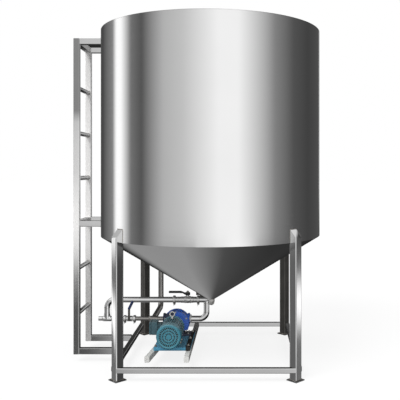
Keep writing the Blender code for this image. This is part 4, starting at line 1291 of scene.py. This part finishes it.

# %% [markdown]
# ## The pump set
#
# The motor, the coupling bracket and the pump stand in one line on a light blue base of
# folded plate, which is bolted to the two skid bars. The motor's fan cover faces the viewer.
# A dark flat bar lies along the base's right edge, under the bolts, and its front end is bent
# down over the edge: painted shade, where that edge lies in shade. It is made of a flat part, a
# fall and a short corner.

# %% Base
PUMP_X = -0.332
SHAFT_Z = 0.250
BASE_TOP, BASE_LOW = 0.143, 0.1153
BASE_LEFT, BASE_RIGHT = -0.466, -0.160
BASE_FRONT = -0.300
BAR_T = 0.005
rounded_copy("base_plate", ["pump_base"], sky_enamel, 0.004, 3)

bm = bmesh.new()
for y in (-0.262, -0.030, 0.200):
    left_skid = -0.497 + 0.11 * (y + 0.460)                # the left skid bar lies askew
    left_bolt = max(left_skid, BASE_LEFT + 0.012)
    for x, seat in ((left_bolt, BASE_TOP), (-0.1785, BASE_TOP + 0.0045)):
        bolt(bm, (x, y, seat), UP, 0.018, 0.009, stud=0.005)
finish_piece("base_bolts", bm, zinc)

# Painted shade: a dark bar over the base's shaded right edge.
bm = bmesh.new()
left, right, top = -0.197, BASE_RIGHT + 0.0005, BASE_TOP + BAR_T
for y0, y1, low in ((BASE_FRONT + 0.004, 0.236, BASE_TOP - 0.0005),
                    (BASE_FRONT - 0.0035, BASE_FRONT - GAP, BASE_LOW + 0.002),
                    (BASE_FRONT - 0.0035, BASE_FRONT + 0.006, BASE_TOP + GAP)):
    bar(bm, (left, y0, low), (right, y1, top), 0.001)
bolt(bm, (-0.179, BASE_FRONT - 0.0033, 0.130), -ALONG_Y, 0.013, 0.006)
finish_piece("hold_down_bar", bm, painted_shade_plate)

# %% [markdown]
# The motor's frame is cast aluminium with cooling fins that stand out all round, except
# underneath, where the feet are. One fin is a thin bar with rounded edges, turned about the
# shaft. At each end sits a shield, with four lugs for the bolts that hold it on.

# %% Motor
MOTOR_R, FIN_R = 0.088, 0.098
MOTOR_Y = (-0.300, -0.030)
FINS = 32
NO_FINS = (238, 302)                                       # degrees, underneath
shaft = Vector((PUMP_X, 0, SHAFT_Z))


def about_shaft(degrees):
    """Turn a shape that points along local X round the motor's shaft."""
    return Matrix.Translation(shaft) @ Matrix.Rotation(math.radians(-degrees), 4, "Y")


bm = bmesh.new()
front, back = MOTOR_Y
lathe(bm, [(0, front), (MOTOR_R + 0.005, front), (MOTOR_R + 0.006, front + 0.003),
           (MOTOR_R + 0.006, front + 0.016), (MOTOR_R - 0.002, front + 0.019),
           (MOTOR_R - 0.002, back - 0.028), (FIN_R - 0.002, back - 0.024), (FIN_R, back - 0.021),
           (FIN_R, back - 0.003), (FIN_R - 0.003, back), (0, back)], shaft, ALONG_Y, 72)
for i in range(FINS):
    degrees = 360 * (i + 0.5) / FINS
    if not NO_FINS[0] < degrees < NO_FINS[1]:
        bar(bm, (MOTOR_R - 0.006, front + 0.018, -0.0014), (FIN_R, back - 0.024, 0.0014),
            0.0008, 1, about_shaft(degrees))
for degrees in (45, 135, 225, 315):
    for y0, y1 in ((front + 0.001, front + 0.020), (back - 0.050, back - 0.020)):
        bar(bm, (MOTOR_R - 0.010, y0, -0.008), (FIN_R - 0.001, y1, 0.008), 0.003,
            matrix=about_shaft(degrees))
for side in (-1, 1):
    x = PUMP_X + side * 0.070
    bar(bm, (x - 0.022, -0.240, BASE_TOP + GAP), (x + 0.022, -0.070, BASE_TOP + 0.013))
    for y in (-0.225, -0.095):
        outer = x + (0.008 if side > 0 else 0.026)
        bar(bm, (x - 0.020, y - 0.009, BASE_TOP + 0.010), (outer, y + 0.009, SHAFT_Z - 0.050))
    web = x - 0.006 * side
    bar(bm, (web - 0.016, -0.225, BASE_TOP + 0.010), (web + 0.010, -0.095, SHAFT_Z - 0.046))
finish_piece("finned_motor", bm, teal_enamel, ["motor_frame"])

# %% [markdown]
# The motor's feet are bolted to the base, and four bolts hold its rear shield. They are zinc
# plated, so they are a piece of their own.

# %% Motor bolts
bm = bmesh.new()
for side in (-1, 1):
    for y in (-0.200, -0.115):
        bolt(bm, (PUMP_X + side * 0.083, y, BASE_TOP + 0.0125), UP, 0.013, 0.007, stud=0.004)
for away in spokes(ALONG_Y, 4):
    bolt(bm, shaft + away * 0.089 + ALONG_Y * (back - 0.001), ALONG_Y, 0.008, 0.005)
finish_piece("motor_bolts", bm, zinc)

# %% [markdown]
# The fan cover is a pressed steel cap. Its face is an air grille: three rows of slots round a
# plain middle. What is left between the slots is drawn instead of the slots: flat rings, and
# rows of short ribs that join one ring to the next. A dark disc behind them stands for the
# fan. Four screws hold the cap at its rim.

# %% Fan cover
FAN_R, FACE_R = 0.1045, 0.0925
FAN_FRONT, FAN_BACK = -0.3783, -0.3003
depth = FAN_BACK - FAN_FRONT
fan_seat = shaft + ALONG_Y * FAN_BACK
GRILLE_Z = depth - 0.0025                                  # the grille's face, from the seat
PLATE = 0.0020
LANDS = ((0.0, 0.021), (0.031, 0.043), (0.055, 0.064), (0.080, FACE_R - 0.004))
SLOT_ROWS = ((0.020, 0.032, 12, 0.0050), (0.042, 0.056, 24, 0.0045), (0.063, 0.081, 30, 0.0055))
bm = bmesh.new()
lathe(bm, [(FAN_R - 0.004, 0), (FAN_R, 0), (FAN_R, depth - 0.018), (FAN_R - 0.002, depth - 0.009),
           (FAN_R - 0.007, depth - 0.003), (FACE_R, depth), (FACE_R - 0.005, depth - 0.001),
           (FACE_R - 0.005, depth - 0.005), (FAN_R - 0.010, depth - 0.008),
           (FAN_R - 0.005, depth - 0.018)], fan_seat, -ALONG_Y, 96, closed=True)
for inner, outer in LANDS:
    section = [(inner, GRILLE_Z - PLATE), (inner, GRILLE_Z - 0.0005), (inner + 0.0005, GRILLE_Z),
               (outer - 0.0005, GRILLE_Z), (outer, GRILLE_Z - 0.0005), (outer, GRILLE_Z - PLATE)]
    if inner == 0:
        section = [(0, GRILLE_Z - PLATE), (0, GRILLE_Z), *section[3:]]
    lathe(bm, section, fan_seat, -ALONG_Y, 72, closed=inner > 0)
for inner, outer, count, width in SLOT_ROWS:
    for i in range(count):
        bar(bm, (inner, FAN_FRONT + 0.0026, -width / 2), (outer, FAN_FRONT + 0.0044, width / 2),
            0.0004, 1, about_shaft(360 * i / count))
finish_piece("fan_cap", bm, teal_enamel, ["fan_cover"])

bm = bmesh.new()
lathe(bm, [(0, depth - 0.012), (FACE_R, depth - 0.012), (FACE_R, depth - 0.014),
           (0, depth - 0.014)], fan_seat, -ALONG_Y, 64)
finish_piece("dark_behind_grille", bm, rubber)

bm = bmesh.new()
for away in spokes(ALONG_Y, 4, start=0):
    bolt(bm, fan_seat + away * (FAN_R - 0.0003) - ALONG_Y * 0.010, away, 0.007, 0.003,
         washer=False)
finish_piece("fan_cap_screws", bm, zinc)

# %% [markdown]
# The terminal box is a die-cast box with a lid on its outer side, a rubber seal between them
# and a screw in each corner. A short gland hangs under it. No cable leaves it, because the
# photograph shows none.

# %% Terminal box
BOX_LEFT, BOX_RIGHT = -0.516, -0.450
BOX_FRONT, BOX_BACK = -0.205, -0.090
BOX_LOW, BOX_TOP = 0.222, 0.330
BOX_RIBS = 4
seam_x = BOX_LEFT + 0.014
bm = bmesh.new()
bar(bm, (seam_x + 0.002, BOX_FRONT, BOX_LOW), (BOX_RIGHT, BOX_BACK, BOX_TOP), 0.005, 3)
bar(bm, (BOX_LEFT, BOX_FRONT + 0.0005, BOX_LOW + 0.0005),
    (seam_x, BOX_BACK - 0.0005, BOX_TOP - 0.0005), 0.004, 3)
bar(bm, (BOX_RIGHT - 0.005, -0.185, 0.235), (PUMP_X - MOTOR_R + 0.004, -0.110, 0.310), 0.004)
for i in range(BOX_RIBS):
    x = seam_x + 0.010 + i * 0.013
    bar(bm, (x, BOX_FRONT - 0.0002, BOX_LOW + 0.008),
        (x + 0.005, BOX_FRONT + 0.004, BOX_TOP - 0.008), 0.0008, 1)
finish_piece("junction_box", bm, grey_teal_enamel, ["terminal_box"])

bm = bmesh.new()
bar(bm, (seam_x - 0.0002, BOX_FRONT + 0.002, BOX_LOW + 0.002),
    (seam_x + 0.0022, BOX_BACK - 0.002, BOX_TOP - 0.002), 0.0005, 1)
lathe(bm, [(0, 0), (0.0080, 0), (0.0080, -0.004), (0.0070, -0.005), (0.0070, -0.009),
           (0, -0.009)], (-0.504, -0.148, BOX_LOW + 0.0005), UP, 12)
finish_piece("seal_and_gland", bm, rubber)

bm = bmesh.new()
for y in (BOX_FRONT + 0.009, BOX_BACK - 0.009):
    for z in (BOX_LOW + 0.009, BOX_TOP - 0.009):
        lathe(bm, [(0, 0), (0.0042, 0), (0.0038, 0.0022), (0, 0.0026)], (BOX_LEFT, y, z),
              -ALONG_X, 16)
finish_piece("box_screws", bm, zinc)

# %% [markdown]
# The lifting eye is a forged ring on a collar, screwed into the top of the motor. The ring is
# a small circle spun round, and the collar is turned.

# %% Lifting eye
EYE = Vector((PUMP_X + 0.005, -0.140, SHAFT_Z + FIN_R + 0.0005))
bm = bmesh.new()
section = [(0.020 + 0.005 * math.cos(a), 0.005 * math.sin(a))
           for a in (math.tau * i / 12 for i in range(12))]
lathe(bm, section, EYE + UP * 0.037, ALONG_Y, 40, closed=True)
lathe(bm, [(0, 0), (0.011, 0), (0.0115, 0.004), (0.008, 0.008), (0.0062, 0.012),
           (0.0062, 0.020), (0, 0.020)], EYE, UP, 28)
finish_piece("eye_bolt", bm, galvanised, ["lifting_eye"])

# %% [markdown]
# The coupling bracket is a short cast lantern between motor and pump: a turned neck with two
# legs down to the base and a pad on each side.

# %% Coupling bracket
LANTERN_Y = MOTOR_Y[1] + GAP
bm = bmesh.new()
lathe(bm, [(0, 0), (0.078, 0), (0.079, 0.002), (0.079, 0.010), (0.077, 0.012), (0.062, 0.018),
           (0.056, 0.022), (0.055, 0.066), (0.060, 0.070), (0.060, 0.0798), (0, 0.0798)],
      shaft + ALONG_Y * LANTERN_Y, ALONG_Y, 64)
for side in (-1, 1):
    leg_x, pad_x = PUMP_X + side * 0.030, PUMP_X + side * 0.050
    bar(bm, (leg_x - 0.012, LANTERN_Y + 0.022, BASE_TOP + GAP),
        (leg_x + 0.012, LANTERN_Y + 0.074, SHAFT_Z - 0.040))
    bar(bm, (pad_x - 0.010, LANTERN_Y + 0.028, SHAFT_Z - 0.022),
        (pad_x + 0.010, LANTERN_Y + 0.060, SHAFT_Z + 0.022), 0.004)
finish_piece("coupling_lantern", bm, navy_enamel, ["coupling_bracket"])

# %% [markdown]
# The pump is a round casing, cast in two halves and painted bright blue. Its two ports lie in
# one line with the pipe, and each ends in a flange. The casing is turned about the shaft and
# then cut off flat underneath, where its foot begins, and the port is turned about the pipe.

# %% Pump casing
CASING = Vector((-0.320, LANTERN_Y + 0.080 + GAP, 0.245))
CASING_R = 0.118
PORT_R = 0.050
CUT_Z = 0.196                                              # the flat underneath
NECK_START = 0.040
left, right = PUMP_PORTS
bm = bmesh.new()
lathe(bm, [(0, 0), (0.060, 0), (0.064, 0.004), (0.100, 0.006), (CASING_R - 0.010, 0.010),
           (CASING_R, 0.014), (CASING_R, 0.026), (CASING_R - 0.002, 0.028),
           (CASING_R - 0.006, 0.040), (CASING_R - 0.006, 0.104), (CASING_R - 0.002, 0.114),
           (CASING_R, 0.116), (CASING_R, 0.130), (CASING_R - 0.008, 0.136), (0.080, 0.142),
           (0.070, 0.150), (0, 0.150)], CASING, ALONG_Y, 96)
cut_off(bm, (0, 0, CUT_Z), -UP)
lathe(bm, [(0, NECK_START), (0.044, NECK_START), (0.044, 0.208), (0.046, 0.219),
           (PORT_R - 0.001, 0.221), (PORT_R, 0.223), (PORT_R, 0.237), (PORT_R - 0.001, 0.238),
           (0, 0.238)], at(left, LOW_Z), ALONG_X, 64)
lathe(bm, [(0, 0), (0.030, 0), (0.029, 0.046), (0.024, 0.052), (0.014, 0.060), (0, 0.060)],
      (-0.290, PIPE_Y, CASING.z + 0.060), UP, 32)
finish_piece("pump_casing", bm, blue_enamel, ["pump_body"])

# %% [markdown]
# The left flange, the foot and a thin shell over the left half of the pump are navy: painted
# shade, where the casing's left and lower side lie in shade. The shell is turned about the casing.
# Two cuts leave only its left half, above the foot.

# %% Foot, left flange and painted shade on the pump's left half
# Painted shade: the left flange and the foot in navy.
bm = bmesh.new()
lathe(bm, [(0, 0), (PORT_R - 0.001, 0), (PORT_R, 0.001), (PORT_R, 0.015),
           (PORT_R - 0.001, 0.017), (0.046, 0.019), (0.0445, 0.030), (0.0445, 0.062),
           (0, 0.062)], at(left, LOW_Z), ALONG_X, 64)
bar(bm, (-0.392, CASING.y + 0.010, BASE_TOP + GAP), (-0.187, CASING.y + 0.125, 0.161))
bar(bm, (-0.388, CASING.y + 0.016, 0.155), (-0.246, CASING.y + 0.118, CUT_Z + 0.012), 0.006, 3)
finish_piece("pump_foot_and_inlet", bm, navy_enamel)

# Painted shade: a navy shell over the pump's left half.
bm = bmesh.new()
lathe(bm, [(0.058, -0.0015), (0.104, 0.0030), (CASING_R - 0.006, 0.0085),
           (CASING_R + 0.0015, 0.0130), (CASING_R + 0.0015, 0.0275),
           (CASING_R - 0.004, 0.0405), (CASING_R - 0.004, 0.0720),
           (CASING_R - 0.0075, 0.0720), (CASING_R - 0.0075, 0.0410),
           (CASING_R - 0.002, 0.0270), (CASING_R - 0.002, 0.0140), (0.098, 0.0075),
           (0.058, 0.0060)], CASING, ALONG_Y, 96, closed=True)
cut_off(bm, (CASING.x - 0.010, 0, 0), ALONG_X)
cut_off(bm, (0, 0, CUT_Z + 0.004), -UP)
finish_piece("pump_left_painted_shade", bm, navy_enamel)

# %% [markdown]
# A light union ring joins the pipe to the right port; its pale tone is also a painted highlight
# on the port's end. Bolts hold the two halves of the casing, the flanges and the foot.

# %% Union and pump bolts
UNION_R = 0.037
RING_BOLTS = 6
# Painted highlight: the pale ring at the right port's end.
bm = bmesh.new()
lathe(bm, [(0, 0.2384), (UNION_R - 0.001, 0.2384), (UNION_R, 0.2394), (UNION_R, 0.2510),
           (UNION_R - 0.001, 0.2520), (0, 0.2520)], at(left, LOW_Z), ALONG_X, 48)
finish_piece("pump_outlet_union", bm, galvanised)

bm = bmesh.new()
for away in spokes(ALONG_Y, RING_BOLTS):
    if away.z > -0.7:                                      # the lowest ones would be cut off
        spot = CASING + away * (CASING_R - 0.009)
        bolt(bm, spot + ALONG_Y * 0.012, -ALONG_Y, 0.011, 0.006)
        bolt(bm, spot + ALONG_Y * 0.134, ALONG_Y, 0.011, 0.006)
for x, way in ((left + 0.017, ALONG_X), (right - 0.031, -ALONG_X)):
    for away in spokes(ALONG_X, 4):
        bolt(bm, at(x, LOW_Z) + away * 0.0405, way, 0.010, 0.005, washer=False)
for y in (CASING.y + 0.026, CASING.y + 0.110):
    bolt(bm, (-0.208, y, 0.1608), UP, 0.012, 0.006, stud=0.003)
finish_piece("pump_bolts", bm, zinc)

# %% [markdown]
# ## What the steel mirrors
#
# The photograph's drum and cone are evenly lit: they mirror the studio, and neither the
# ladder nor the pump set shows in them. So those pieces are kept out of mirror reflections,
# and only the drum, cone and roof stay in them, for the pipes below to mirror.

# %% Even steel
MIRRORED = ("drum_wall", "bottom_cone", "roof_sheet")
kept_out = [piece for piece in bpy.context.scene.objects
            if piece.type == "MESH" and piece.name not in MIRRORED]
for piece in kept_out:
    piece.visible_glossy = False
print(len(kept_out), "meshes are kept out of mirrors")
